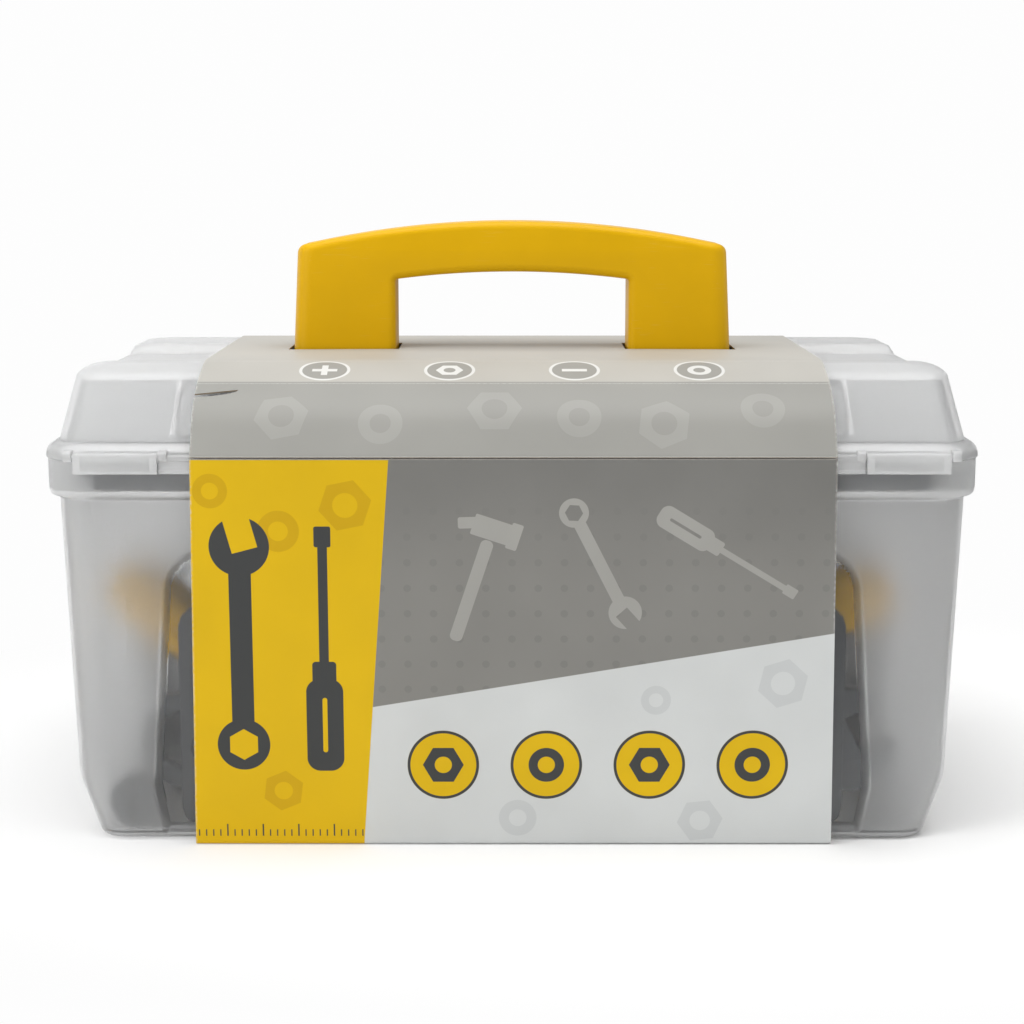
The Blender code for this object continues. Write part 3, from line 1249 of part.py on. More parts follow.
def bolt_profile():
    """From the head's top down a ridged shank to a chamfered tip."""
    edge = BOLT_HEAD / 6
    points = [(0, BOLT_HEAD_HEIGHT), (BOLT_HEAD - edge, BOLT_HEAD_HEIGHT), (BOLT_HEAD, BOLT_HEAD_HEIGHT - edge),
              (BOLT_HEAD, edge / 2), (BOLT_HEAD - edge / 2, 0)]
    pitch = BOLT_LENGTH / (BOLT_RIDGES + 1)
    points.append((BOLT_SHANK - BOLT_RIDGE, 0))
    for ridge in range(BOLT_RIDGES):
        z = -(ridge + 1 / 2) * pitch
        points += [(BOLT_SHANK, z - pitch / 3), (BOLT_SHANK - BOLT_RIDGE, z - pitch)]
    points += [(BOLT_SHANK - 3 * BOLT_RIDGE, -BOLT_LENGTH), (0, -BOLT_LENGTH)]
    return points


def make_bolts():
    first = turned("bolt_1", bolt_profile(), BOLT_STEPS)
    slot = block("bolt_slot", (-BOLT_HEAD - OVERRUN, -BOLT_SLOT / 2, BOLT_HEAD_HEIGHT - BOLT_SLOT_DEPTH),
                 (BOLT_HEAD + OVERRUN, BOLT_SLOT / 2, BOLT_HEAD_HEIGHT + OVERRUN))
    cut(first, slot)
    settled(first)
    place_in_parts(first, GRAPHITE)
    bolts = [first] + [copy_of(first, f"bolt_{n}") for n in range(2, len(BOLT_PLACES_shares) + 1)]
    for bolt, (x, y, turn, lying) in zip(bolts, BOLT_PLACES_shares):
        bolt.rotation_euler = (0, math.pi / 2, math.radians(turn)) if lying else (math.pi, 0, math.radians(turn))
        bolt.location = (x * FLOOR_HALF_LENGTH, y * FLOOR_HALF_WIDTH, 0)
        rest_on(bolt, (bolt,), REST_Z)
    return bolts


def make_nuts():
    steps = 12
    hexagon = []
    for index, (c, s) in enumerate(circle(1, steps)):
        hexagon.append((c * NUT_HEX, s * NUT_HEX) if index % 2 == 0 else
                       (c * NUT_HEX * math.cos(math.pi / 6), s * NUT_HEX * math.cos(math.pi / 6)))
    round_ring = circle(NUT_FLANGE, steps)
    rings = [[(x, y, 0) for x, y in round_ring], [(x, y, NUT_FLANGE_HEIGHT) for x, y in round_ring],
             [(x, y, NUT_FLANGE_HEIGHT + MERGE * 20) for x, y in hexagon], [(x, y, NUT_HEIGHT) for x, y in hexagon]]
    first = loft("nut_1", rings)
    cut(first, rod("nut_bore", NUT_BORE, -OVERRUN, NUT_HEIGHT + OVERRUN, "Z", (0, 0), steps))
    settled(first)
    place_in_parts(first, GRAPHITE)
    nuts = [first] + [copy_of(first, f"nut_{n}") for n in range(2, len(NUT_PLACES_shares) + 1)]
    for nut, (x, y) in zip(nuts, NUT_PLACES_shares):
        nut.location = (x * FLOOR_HALF_LENGTH, y * FLOOR_HALF_WIDTH, 0)
        rest_on(nut, (nut,), REST_Z)
    return nuts


def make_pegs():
    profile = [
        (0, PEG_HEAD_HEIGHT), (PEG_HEAD * PEG_CROWN_share, PEG_HEAD_HEIGHT), (PEG_HEAD, PEG_HEAD_HEIGHT / 2), (PEG_HEAD, 0),
        (PEG_SHANK, 0), (PEG_SHANK, -PEG_LENGTH + PEG_SHANK), (PEG_TIP, -PEG_LENGTH), (0, -PEG_LENGTH),
    ]
    first = turned("peg_1", profile, SMALL_ROUND_STEPS)
    place_in_parts(first, GRAPHITE)
    pegs = [first, copy_of(first, "peg_2")]
    for peg, (x, y, turn) in zip(pegs, PEG_PLACES_shares):
        peg.rotation_euler = (0, math.pi / 2, math.radians(turn))
        peg.location = (x * FLOOR_HALF_LENGTH, y * FLOOR_HALF_WIDTH, 0)
        rest_on(peg, (peg,), REST_Z)
    return pegs


def make_strips():
    """Yellow strips with three round holes and triangular brackets, stacked flat."""
    half = STRIP_LENGTH / 2
    pitch = (STRIP_LENGTH - STRIP_WIDTH) / (STRIP_HOLES - 1)
    holes = [circle(STRIP_HOLE, 12, ((n - (STRIP_HOLES - 1) / 2) * pitch, 0)) for n in range(STRIP_HOLES)]
    strip = plate("strip_1", rounded_rectangle(half, STRIP_WIDTH / 2, STRIP_WIDTH * 2 / 5, 3), STRIP_THICKNESS, holes)
    place_in_parts(strip, YELLOW)
    bracket = plate("bracket_1", triangle(BRACKET_SIDE, BRACKET_CORNER), STRIP_THICKNESS,
                    (triangle(BRACKET_SIDE - 2 * BRACKET_BAND * math.sqrt(3), BRACKET_CORNER / 2),))
    place_in_parts(bracket, YELLOW)
    pile = [strip, copy_of(strip, "strip_2"), bracket, copy_of(bracket, "bracket_2")]
    x, y = PILE_PLACE_shares
    for level, piece in enumerate(pile):
        piece.location = (x * FLOOR_HALF_LENGTH, y * FLOOR_HALF_WIDTH, 0)
        rest_on(piece, (piece,), REST_Z + level * (STRIP_THICKNESS + FIT_GAP))
    return pile


def make_planks():
    """Two planks with a round hole, on end behind the ends of the front panel."""
    half = PLANK_WIDTH / 2
    outline = rounded_rectangle(half, PLANK_LENGTH / 2, half * 3 / 4, 3)
    hole = circle(STRIP_HOLE, 12, (0, PLANK_HOLE_RISE - PLANK_LENGTH / 2))
    first = upright(plate("plank_1", outline, PLANK_THICKNESS, (hole,)))
    place_in_parts(first, GRAPHITE)
    planks = [first, copy_of(first, "plank_2")]
    for plank, side in zip(planks, (-1, 1)):
        plank.location = (side * (FLOOR_HALF_LENGTH - PLANK_INSET),
                          -(FLOOR_HALF_WIDTH - FIT_GAP - PLANK_THICKNESS / 2), 0)
        rest_on(plank, (plank,), REST_Z)
    return planks


def make_stand(name, side):
    """An end panel of the bench: an upright plate with cut top corners and a foot that reaches the end wall."""
    half, cut_off = STAND_LENGTH / 2, STAND_CUT
    upper = [(half, STAND_HEIGHT - cut_off), (half - cut_off, STAND_HEIGHT)]
    outline = [(half, 0), *upper, *((-y, z) for y, z in reversed(upper)), (-half, 0)]
    stand = sideways(plate(name, outline, STAND_THICKNESS))
    low = (min(0, side * STAND_FOOT), -half, 0)
    high = (max(0, side * STAND_FOOT), half, STAND_THICKNESS)
    join(stand, block(f"{name} foot", low, high))
    settled(stand)
    stand.location = (side * (FLOOR_HALF_LENGTH - FIT_GAP - STAND_FOOT), STAND_SHIFT, REST_Z)
    return place_in_parts(stand, GRAPHITE)


def triangle(side, corner):
    """An equilateral triangle with round corners, centred on the origin."""
    reach = side / math.sqrt(3) - 2 * corner
    points = []
    for turn in range(3):
        heading = math.pi / 2 + turn * math.tau / 3
        centre = (reach * math.cos(heading), reach * math.sin(heading))
        points += arc(centre, corner, heading - math.pi / 3, heading + math.pi / 3, 3)
    return points


make_case()
make_lid()
for latch_name, latch_side in (("latch_left", -1), ("latch_right", 1)):
    make_latch(latch_name, latch_side)
make_handle()
for screw_name, screw_side in (("handle_screw_left", -1), ("handle_screw_right", 1)):
    make_screw(screw_name, screw_side)
make_sleeve_lower()
make_sleeve_upper()
make_board()
make_hammer()
make_screwdriver(("screwdriver_flat_handle", "screwdriver_flat_shaft"), DRIVER_A_PLACE_shares,
                 (0, -DRIVER_TILT, math.pi), False)
make_screwdriver(("screwdriver_cross_handle", "screwdriver_cross_shaft"), DRIVER_B_PLACE_shares, (0, 0, math.pi), True)
make_ring_spanner()
make_open_spanner()
make_pliers()
make_saw()
make_bolts()
make_nuts()
make_pegs()
make_strips()
make_planks()
for stand_name, stand_side in (("stand_left", -1), ("stand_right", 1)):
    make_stand(stand_name, stand_side)
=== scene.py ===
"""The looks of a toy tool box: a frosted moulded case and lid, two latches, a yellow carry handle, a printed
card sleeve, and the pegboard and toy tools that lie inside.

Metres, +Z up, latches to -Y, length along X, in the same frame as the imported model.
"""

import json
import math

import bmesh
import bpy
import numpy as np
from mathutils import Matrix, Vector

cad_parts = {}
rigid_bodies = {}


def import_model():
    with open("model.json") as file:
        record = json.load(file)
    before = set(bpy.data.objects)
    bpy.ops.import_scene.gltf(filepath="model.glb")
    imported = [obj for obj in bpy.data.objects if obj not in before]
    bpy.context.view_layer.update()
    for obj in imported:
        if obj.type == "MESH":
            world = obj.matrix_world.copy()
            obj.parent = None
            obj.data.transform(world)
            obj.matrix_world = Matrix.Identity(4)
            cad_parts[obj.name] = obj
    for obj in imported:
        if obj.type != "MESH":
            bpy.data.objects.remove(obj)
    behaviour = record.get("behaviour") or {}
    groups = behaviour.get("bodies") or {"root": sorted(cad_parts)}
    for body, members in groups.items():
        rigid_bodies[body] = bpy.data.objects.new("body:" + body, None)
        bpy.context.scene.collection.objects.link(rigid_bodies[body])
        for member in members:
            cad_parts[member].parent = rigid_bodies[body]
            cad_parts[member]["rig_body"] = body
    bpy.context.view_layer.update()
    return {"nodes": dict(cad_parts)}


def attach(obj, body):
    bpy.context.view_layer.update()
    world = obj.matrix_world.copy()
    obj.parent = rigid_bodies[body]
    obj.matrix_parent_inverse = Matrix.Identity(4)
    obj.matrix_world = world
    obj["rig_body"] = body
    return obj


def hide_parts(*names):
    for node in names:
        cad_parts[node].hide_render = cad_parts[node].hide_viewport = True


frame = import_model()

# --- Studio ------------------------------------------------------------------------------------------------
# A white sweep lit by one broad softbox overhead, a strong one on the left and a weak one on the right. The
# camera stands a little above the lid. Round the box the floor is a real white surface, which takes the shadow,
# and further out it turns into the plain white of the background.

CAMERA_DISTANCE = 0.809
CAMERA_HEIGHT = 0.2366
CAMERA_PITCH = math.radians(9.33)
CAMERA_LENS = 74.28
FLOOR_HALF = 4.0
SHADOW_FLOOR_MIDDLE = (0.090, 0.030, 0.0)
SHADOW_FLOOR_HALF = (0.28, 0.20, 1.0)
SHADOW_FLOOR_FADE = (0.55, 1.5)
FLOOR_COLOUR = (0.94, 0.94, 0.935, 1.0)
BACKGROUND_WHITE = 0.985
SWEEP_LEFT = 1.0
SWEEP_RIGHT = 0.42
SWEEP_REACH_AROUND = 0.4
SWEEP_REACH_FLOOR = 0.35
AMBIENT = 0.46
LAMP_TARGET = Vector((0, 0, 0.09))
SOFTBOXES = (("overhead", (0.0, -0.15, 1.5), (1.6, 1.2), 20.0), ("left", (-1.4, -0.9, 0.7), (0.9, 1.1), 9.6),
             ("right", (1.4, -0.7, 0.7), (0.9, 1.1), 2.0))

scene = bpy.context.scene
scene.view_settings.view_transform = "Standard"


def new_object(name, data):
    thing = bpy.data.objects.new(name, data)
    scene.collection.objects.link(thing)
    return thing


camera_data = bpy.data.cameras.new("camera")
camera_data.lens = CAMERA_LENS
camera_data.sensor_width = 36.0
camera_data.clip_start = 0.01
camera_data.clip_end = 20.0
camera = new_object("camera", camera_data)
camera.location = (0.0, -CAMERA_DISTANCE, CAMERA_HEIGHT)
camera.rotation_euler = (math.pi / 2 - CAMERA_PITCH, 0.0, 0.0)
scene.camera = camera


class Value:
    """An output of a node; arithmetic with it adds Math nodes to its tree."""

    def __init__(self, nodes, socket):
        self.nodes, self.socket = nodes, socket

    def __add__(self, other):
        return self.nodes.maths("ADD", self, other)

    def __sub__(self, other):
        return self.nodes.maths("SUBTRACT", self, other)

    def __rsub__(self, other):
        return self.nodes.maths("SUBTRACT", other, self)

    def __mul__(self, other):
        return self.nodes.maths("MULTIPLY", self, other)

    def __rtruediv__(self, other):
        return self.nodes.maths("DIVIDE", other, self)


class Nodes:
    """The emptied node tree of a material, world or group, with short calls that add and join nodes in it."""

    def __init__(self, tree):
        self.tree = tree
        tree.nodes.clear()

    def join(self, value, socket):
        """Links a value, a node's first output or a socket to a socket, or sets a plain value on it."""
        if isinstance(value, Value):
            value = value.socket
        if isinstance(value, bpy.types.Node):
            value = value.outputs[0]
        if isinstance(value, bpy.types.NodeSocket):
            self.tree.links.new(value, socket)
        else:
            socket.default_value = value

    def add(self, kind, settings=None, **inputs):
        """A node with its settings and inputs. _ stands for a space in an input's name, and i2 for input 2."""
        node = self.tree.nodes.new(kind if "Node" in kind else "ShaderNode" + kind)
        for name, value in (settings or {}).items():
            setattr(node, name, value)
        for name, value in inputs.items():
            self.join(value, node.inputs[int(name[1:]) if name[1:].isdigit() else name.replace("_", " ")])
        return node

    def value(self, kind, settings=None, output=0, **inputs):
        return Value(self, self.add(kind, settings, **inputs).outputs[output])

    def group(self, tree, **inputs):
        """The outputs of a node group by name."""
        return {socket.name: Value(self, socket) for socket in self.add("Group", {"node_tree": tree}, **inputs).outputs}

    def maths(self, operation, first, second=0.0, third=0.0, clamp=False):
        return self.value("Math", {"operation": operation, "use_clamp": clamp}, i0=first, i1=second, i2=third)

    def line(self, value, slope, start, clamp=True):
        """A straight line over a value, kept from 0 to 1."""
        return self.maths("MULTIPLY_ADD", value, slope, start, clamp=clamp)

    def most(self, *values):
        made = values[0]
        for value in values[1:]:
            made = self.maths("MAXIMUM", made, value)
        return made

    def ranged(self, value, low=0.0, high=1.0, to_low=0.0, to_high=1.0, smooth=False):
        """A value mapped from one range to another, and kept within it."""
        return self.value("MapRange", {"interpolation_type": "SMOOTHSTEP" if smooth else "LINEAR"}, Value=value,
                          From_Min=low, From_Max=high, To_Min=to_low, To_Max=to_high)

    def mix(self, share, first, second):
        return self.value("Mix", {"data_type": "RGBA"}, 2, i0=share, i6=first, i7=second)

    def noise(self, place, scale, detail, roughness=0.5, distortion=0.0):
        return self.value("TexNoise", None, "Fac", Vector=place, Scale=scale, Detail=detail, Roughness=roughness,
                          Distortion=distortion)

    def vector(self, operation, first, second=None, **more):
        if second is not None:
            more["i1"] = second
        return self.value("VectorMath", {"operation": operation}, i0=first, **more)

    def length(self, vector):
        return self.value("VectorMath", {"operation": "LENGTH"}, "Value", i0=vector)

    def parts(self, vector):
        return [Value(self, socket) for socket in self.add("SeparateXYZ", Vector=vector).outputs]

    def point(self, x=0.0, y=0.0, z=0.0):
        return self.value("CombineXYZ", X=x, Y=y, Z=z)

    def finish(self, shader, output="OutputMaterial"):
        self.join(shader, self.add(output).inputs["Surface"])


def new_tree(owner):
    owner.use_nodes = True
    return Nodes(owner.node_tree)


def sees_background(t, path):
    """1 for a ray that reaches the background from the camera, straight or through gloss and clear plastic alone."""
    kind = t.most(path["Is Camera Ray"], t.most(path["Is Glossy Ray"], path["Is Transmission Ray"]))
    return kind * t.maths("LESS_THAN", path["Diffuse Depth"], 0.5)


def sweep_strength(t, path, across, reach):
    """The sweep's brightness, which falls from left to right but is plain white to the camera."""
    sweep = t.ranged(across, -reach, reach, SWEEP_LEFT, SWEEP_RIGHT, smooth=True)
    return t.ranged(path["Is Camera Ray"], to_low=sweep, to_high=BACKGROUND_WHITE)


def make_studio_world():
    world = bpy.data.worlds.new("studio")
    scene.world = world
    t = new_tree(world)
    path = t.add("LightPath").outputs
    across = t.parts(t.value("TexCoord", output="Generated"))[0]
    behind = sweep_strength(t, path, across, SWEEP_REACH_AROUND)
    strength = t.ranged(sees_background(t, path), to_low=AMBIENT, to_high=behind)
    t.finish(t.add("Background", Color=(1, 1, 1, 1), Strength=strength), "OutputWorld")


def make_floor():
    """A real white floor round the box that turns into plain white further out."""
    material = bpy.data.materials.new("white floor")
    t = new_tree(material)
    place = t.value("TexCoord", output="Object")
    path = t.add("LightPath").outputs
    away = t.vector("DIVIDE", t.vector("SUBTRACT", place, SHADOW_FLOOR_MIDDLE), SHADOW_FLOOR_HALF)
    far = t.ranged(t.length(away), *SHADOW_FLOOR_FADE, smooth=True)
    behind = sweep_strength(t, path, t.parts(place)[0], SWEEP_REACH_FLOOR)
    t.finish(t.add("MixShader", Fac=far * sees_background(t, path), i1=t.add("BsdfDiffuse", Color=FLOOR_COLOUR),
                   i2=t.add("Emission", Color=(1, 1, 1, 1), Strength=behind)))
    mesh = bpy.data.meshes.new("floor")
    side = FLOOR_HALF
    mesh.from_pydata([(-side, -side, 0), (side, -side, 0), (side, side, 0), (-side, side, 0)], [], [(0, 1, 2, 3)])
    mesh.materials.append(material)
    new_object("floor", mesh)


make_studio_world()
make_floor()
for lamp_name, lamp_place, lamp_size, lamp_power in SOFTBOXES:
    lamp = bpy.data.lights.new(lamp_name, "AREA")
    lamp.shape = "RECTANGLE"
    lamp.size, lamp.size_y = lamp_size
    lamp.energy = lamp_power
    holder = new_object(lamp_name, lamp)
    holder.location = lamp_place
    holder.rotation_euler = (LAMP_TARGET - Vector(lamp_place)).to_track_quat("-Z", "Y").to_euler()

# --- Case --------------------------------------------------------------------------------------------------
# An injection moulded tub of frosted polypropylene with drafted 1.8 mm walls, a slanted foot, a wider rim
# and a sunk panel front and back. The mould's matt surface is a little clearer inside the sunk panels.

# A rounded rectangle is given as its half length, half width and corner radius.
WALL = 0.0018
CASE_Z = 0.0009
BASE = (0.1474, 0.0874, 0.0105)
BREAK = (0.1547, 0.0882, 0.0130)
BREAK_Z = 0.0216
WALL_TOP = (0.1578, 0.0913, 0.0130)
RIM_Z = 0.1228
RIM_STEPS = ((0.0006, 0.0014), (0.0012, 0.0029), (0.0022, 0.0035))
RIM_FOOT = 0.0046
RIM = (0.1615, 0.0950, 0.0167)
RIM_TOP = 0.1365
LEDGE_Z = 0.1262
FLOOR_Z = 0.0029
CASE_ROUNDS = (0.0009, 0.0040, 0.0006, 0.0006, 0.0006, 0.0012, 0.0014, 0.0005, 0.0005, 0.0008, 0.0005, 0.0040, 0.0016)
RIM_WALL_Z = (RIM_Z - 0.0010, LEDGE_Z + 0.0002)
PANEL_DEPTH = 0.0034
PANEL_FLAT = 0.97
PANEL_Y = 0.08
PANEL_SLOPE = 0.0032
PANEL_COLUMN = 0.86
PANEL_FOOT = (0.1213, 0.0052)
PANEL_BREAK = (0.1240, 0.0200)
PANEL_TOP = (0.1190, 0.1030)
PANEL_CORNER = 0.0140
PANEL_RISE = ((0.0720, 0.1030), (0.0580, 0.0820))
# Corner strips this wide and reaching this far, and the faces below the height after them, are painted with a highlight
# in the whiter copy of the plastic.
CORNER_STRIP = 0.0030
CORNER_REACH = 0.001
FOOT_PAINTED_HIGHLIGHT_Z = 0.0030
CORNER_STEPS = 12
HINGE_X = 0.1352
HINGE_Y = 0.0995
HINGE_LENGTH = 0.0280
HINGE_LUG = 0.0040


def grown(size, by):
    """A rounded rectangle's half length, half width and corner, all larger by the same."""
    return tuple(value + by for value in size)


def eased(sections, reaches, steps=4):
    """The sections of a profile with a round curve, that far each way, in place of each inner corner."""
    made = [sections[0]]
    for before, here, after, reach in zip(sections, sections[1:], sections[2:], reaches):
        before, here, after = (np.array(section, float) for section in (before, here, after))
        back, ahead = before - here, after - here
        start = here + back * min(0.5, reach / max(np.linalg.norm(back[:3]), 1e-9))
        end = here + ahead * min(0.5, reach / max(np.linalg.norm(ahead[:3]), 1e-9))
        shares = [step / steps for step in range(steps + 1)]
        made += [tuple(start * (1 - t) ** 2 + here * 2 * t * (1 - t) + end * t ** 2) for t in shares]
    return made + [sections[-1]]


def divided(sections, longest, *fine):
    """The same sections with more between them, none further apart than longest in height.

    Each of fine is a stretch of height, low and high, with a shorter longest step there.
    """
    heights = sorted(z for low, high, _ in fine for z in (low, high))
    split = [sections[0]]
    for low, high in zip(sections, sections[1:]):
        between = [z for z in heights if min(low[0], high[0]) + 1e-6 < z < max(low[0], high[0]) - 1e-6]
        for z in between if high[0] > low[0] else between[::-1]:
            t = (z - low[0]) / (high[0] - low[0])
            split.append(tuple(np.array(low, float) * (1 - t) + np.array(high, float) * t))
        split.append(high)
    made = [split[0]]
    for low, high in zip(split, split[1:]):
        low, high = np.array(low, float), np.array(high, float)
        middle = (low[0] + high[0]) / 2
        step = min([longest] + [short for start, end, short in fine if start < middle < end])
        pieces = max(1, math.ceil(abs(high[0] - low[0]) / step - 1e-6))
        made += [tuple(low + (high - low) * n / pieces) for n in range(1, pieces + 1)]
    return made


def spaced(*stretches):
    """Shares from -1 to 1, mirrored, from stretches of (start, end, count) given outwards from the middle."""
    half = np.concatenate([np.linspace(start, end, count, endpoint=False) for start, end, count in stretches])
    half = np.unique(np.round(np.append(half, 1.0), 6))
    return np.concatenate([-half[::-1], half[half > 0]])


def arc(centre, radius, start, end, steps):
    """Points along an arc between two angles in degrees."""
    angles = [math.radians(start + (end - start) * step / steps) for step in range(steps + 1)]
    return [(centre[0] + radius * math.cos(a), centre[1] + radius * math.sin(a)) for a in angles]


def ring(size, along, across):
    """Points round a rounded rectangle: the long sides at the shares along, the ends at the shares across."""
    half_x, half_y, corner = size
    x, y = half_x - corner, half_y - corner
    sides = ([(share * x, -half_y) for share in along], [(half_x, share * y) for share in across],
             [(-share * x, half_y) for share in along], [(-half_x, -share * y) for share in across])
    points = []
    for turn, (side, centre) in enumerate(zip(sides, ((x, -y), (x, y), (-x, y), (-x, -y)))):
        points += side + arc(centre, corner, 90 * (turn - 1), 90 * turn, CORNER_STEPS)[1:-1]
    return points


def share_along(first, second):
    """How far along its side each point lies, from 0 to 1, as the mean of two facing sides."""
    shares = []
    for side in (first, second):
        steps = np.linalg.norm(np.diff(side, axis=0), axis=1)
        shares.append(np.concatenate([[0], np.cumsum(steps)]) / steps.sum())
    return (shares[0] + shares[1]) / 2


def cap_grid(edge, along, across):
    """Rows of points that fill a ring, and the place of each in the ring or -1."""
    half = CORNER_STEPS // 2
    count_x, count_y = len(along) - 1 + 2 * half, len(across) - 1 + 2 * half
    bottom, right, top, left = (
        [(start + way * i) % len(edge) for i in range(count + 1)] for start, way, count in (
            (-half, 1, count_x), (-half + count_x, 1, count_y), (-half + 2 * count_x + count_y, -1, count_x),
            (-half + 2 * count_x + 2 * count_y, -1, count_y)))
    points = np.array(edge, float)
    index = np.full((count_y + 1, count_x + 1), -1)
    index[0], index[-1], index[:, 0], index[:, -1] = bottom, top, left, right
    u = share_along(points[bottom], points[top])[None, :, None]
    v = share_along(points[left], points[right])[:, None, None]
    inner = ((1 - v) * points[bottom][None] + v * points[top][None]
             + (1 - u) * points[left][:, None] + u * points[right][:, None]
             - (1 - u) * (1 - v) * points[bottom[0]] - u * (1 - v) * points[bottom[-1]]
             - (1 - u) * v * points[top[0]] - u * v * points[top[-1]])
    return index, inner


def shell_mesh(name, sections, along, across, shape):
    """A closed mesh through rounded rectangles, from one cap's height round the profile to the other cap's.

    shape moves the points (an array of x, y, z with each point's section) after they are placed.
    """
    points = [(x, y, height) for height, *size in sections for x, y in ring(size, along, across)]
    count = len(points) // len(sections)
    rows = range(0, len(points), count)
    faces = [(low + i, low + (i + 1) % count, low + count + (i + 1) % count, low + count + i)
             for low in rows[:-1] for i in range(count)]
    section_of = np.repeat(np.arange(len(sections)), count).tolist()
    for row, last in ((rows[0], False), (rows[-1], True)):
        index, inner = cap_grid(points[row:row + count], along, across)
        place = np.where(index >= 0, index + row, -1)
        for j in range(1, place.shape[0] - 1):
            for i in range(1, place.shape[1] - 1):
                place[j, i] = len(points)
                points.append(tuple(inner[j, i]))
                section_of.append(len(sections) - 1 if last else 0)
        for j in range(place.shape[0] - 1):
            for i in range(place.shape[1] - 1):
                quad = [int(v) for v in (place[j, i], place[j, i + 1], place[j + 1, i + 1], place[j + 1, i])]
                faces.append(quad if last else quad[::-1])
    co = shape(np.array(points, float), np.array(section_of))
    mesh = bpy.data.meshes.new(name)
    mesh.from_pydata(co.tolist(), [], faces)
    mesh.update()
    return mesh


def put(mesh, material, body, *nodes, slot=None, angle=30, others=(), finish=None):
    """Makes a piece of a mesh: smooth shading, material, the body it rides on and the nodes it stands for.

    finish gives each face the number of its material: 0, or a place from 1 up among the others.
    """
    mesh.materials.clear()
    for each in (material, *others):
        mesh.materials.append(each)
    if finish is not None:
        mesh.polygons.foreach_set("material_index", np.asarray(finish, np.int32))
    mesh.shade_smooth()
    mesh.set_sharp_from_angle(angle=math.radians(angle))
    piece = new_object(mesh.name, mesh)
    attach(piece, body)
    if nodes:
        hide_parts(*nodes)


def mirrored(half):
    """An outline from its right half, up the right side and down the left."""
    return half + [(-x, y) for x, y in reversed(half)]


def case_panel_outline():
    """The floor of the sunk panel, as x and z from the foot up one side and down the other."""
    corner = arc((PANEL_TOP[0] - PANEL_CORNER, PANEL_TOP[1] - PANEL_CORNER), PANEL_CORNER, 0, 90, 12)
    return mirrored([PANEL_FOOT, PANEL_BREAK, *corner, *PANEL_RISE])


def inside_distance(x, z, outline):
    """How far each point lies inside a closed outline, below zero outside."""
    outline = np.array(outline, float)
    nearest = np.full(x.shape, 1e9)
    inside = np.zeros(x.shape, bool)
    for (ax, az), (bx, bz) in zip(outline, np.roll(outline, -1, axis=0)):
        dx, dz = bx - ax, bz - az
        t = np.clip(((x - ax) * dx + (z - az) * dz) / (dx * dx + dz * dz), 0, 1)
        nearest = np.minimum(nearest, np.hypot(x - ax - t * dx, z - az - t * dz))
        inside ^= ((az > z) != (bz > z)) & (x < ax + dx * (z - az) / (dz if dz else 1e-12))
    return np.where(inside, nearest, -nearest)


def ramp(distance, width):
    """From 0 to 1 over a width, round at its two ends."""
    t = np.clip(distance / width, 0, 1)
    return np.where(t < 0.3, t * t / 0.42, np.where(t > 0.7, 1 - (1 - t) ** 2 / 0.42, (t - 0.15) / 0.7))


def sunk_depth(co):
    """How deep the front and back panels lie at each point of a wall, as a share of their depth."""
    return ramp(inside_distance(co[:, 0], co[:, 2], case_panel_outline()) + PANEL_SLOPE, PANEL_SLOPE)


def sink_case_panels(co, section_of):
    """Bends the wall's columns along the panel's sides, then sinks the panels."""
    x, z = co[:, 0], co[:, 2]
    reach = np.array([size[1] - size[3] for size in case_sections()])[section_of]
    sides = (PANEL_FOOT, PANEL_BREAK, (PANEL_TOP[0], PANEL_TOP[1] - PANEL_CORNER))
    side = np.interp(z, [at[1] for at in sides], [at[0] for at in sides]) + PANEL_SLOPE / 2
    share, wanted = np.abs(x) / reach, side / reach
    moved = np.where(share < PANEL_COLUMN, share * wanted / PANEL_COLUMN,
                     1 - (1 - share) * (1 - wanted) / (1 - PANEL_COLUMN))
    wall = (np.abs(co[:, 1]) > BASE[1] - WALL - 0.004) & (z > CASE_Z + 0.0005) & (z < RIM_Z)
    co[:, 0] = np.where(wall & (share < 1), np.sign(x) * moved * reach, x)
    co[:, 1] -= np.where(wall, np.sign(co[:, 1]) * sunk_depth(co) * PANEL_DEPTH, 0)
    return co


def case_sections():
    outer = [
        (CASE_Z, *grown(BASE, -0.0012)), (CASE_Z + 0.0010, *BASE), (BREAK_Z, *BREAK), (RIM_Z, *WALL_TOP),
        *((RIM_Z + rise, *grown(WALL_TOP, out)) for rise, out in RIM_STEPS), (RIM_Z + RIM_FOOT, *RIM), (RIM_TOP, *RIM),
        (RIM_TOP, *grown(RIM, -WALL)), (LEDGE_Z, *grown(RIM, -WALL)), (LEDGE_Z, *grown(WALL_TOP, -WALL)),
        (BREAK_Z, *grown(BREAK, -WALL)), (FLOOR_Z, *grown(BASE, -WALL)), (FLOOR_Z, *grown(BASE, -WALL - 0.003)),
    ]
    return divided(eased(outer, CASE_ROUNDS), 0.0030, (0.0016, 0.0090, 0.0009), (0.0180, 0.0240, 0.0015),
                   (0.0860, 0.1075, 0.0009))


def face_middles(mesh):
    middles = np.empty(len(mesh.polygons) * 3, np.float32)
    mesh.polygons.foreach_get("center", middles)
    return middles.reshape(-1, 3).astype(float)


def end_strip(middles, low, high):
    """The faces of the four upright corners, near the ends, between two sections of a wall."""
    x, y, z = np.abs(middles[:, 0]), np.abs(middles[:, 1]), middles[:, 2]
    half_x, half_y, corner = (np.interp(z, (low[0], high[0]), (low[n], high[n])) for n in (1, 2, 3))
    return ((z > low[0]) & (z < high[0]) & (x > half_x - CORNER_STRIP) & (y > half_y - corner)
            & (y < half_y + CORNER_REACH))


GRAIN_SIZE = 0.0004
CLOUD_RANGE = (0.3, 0.7)


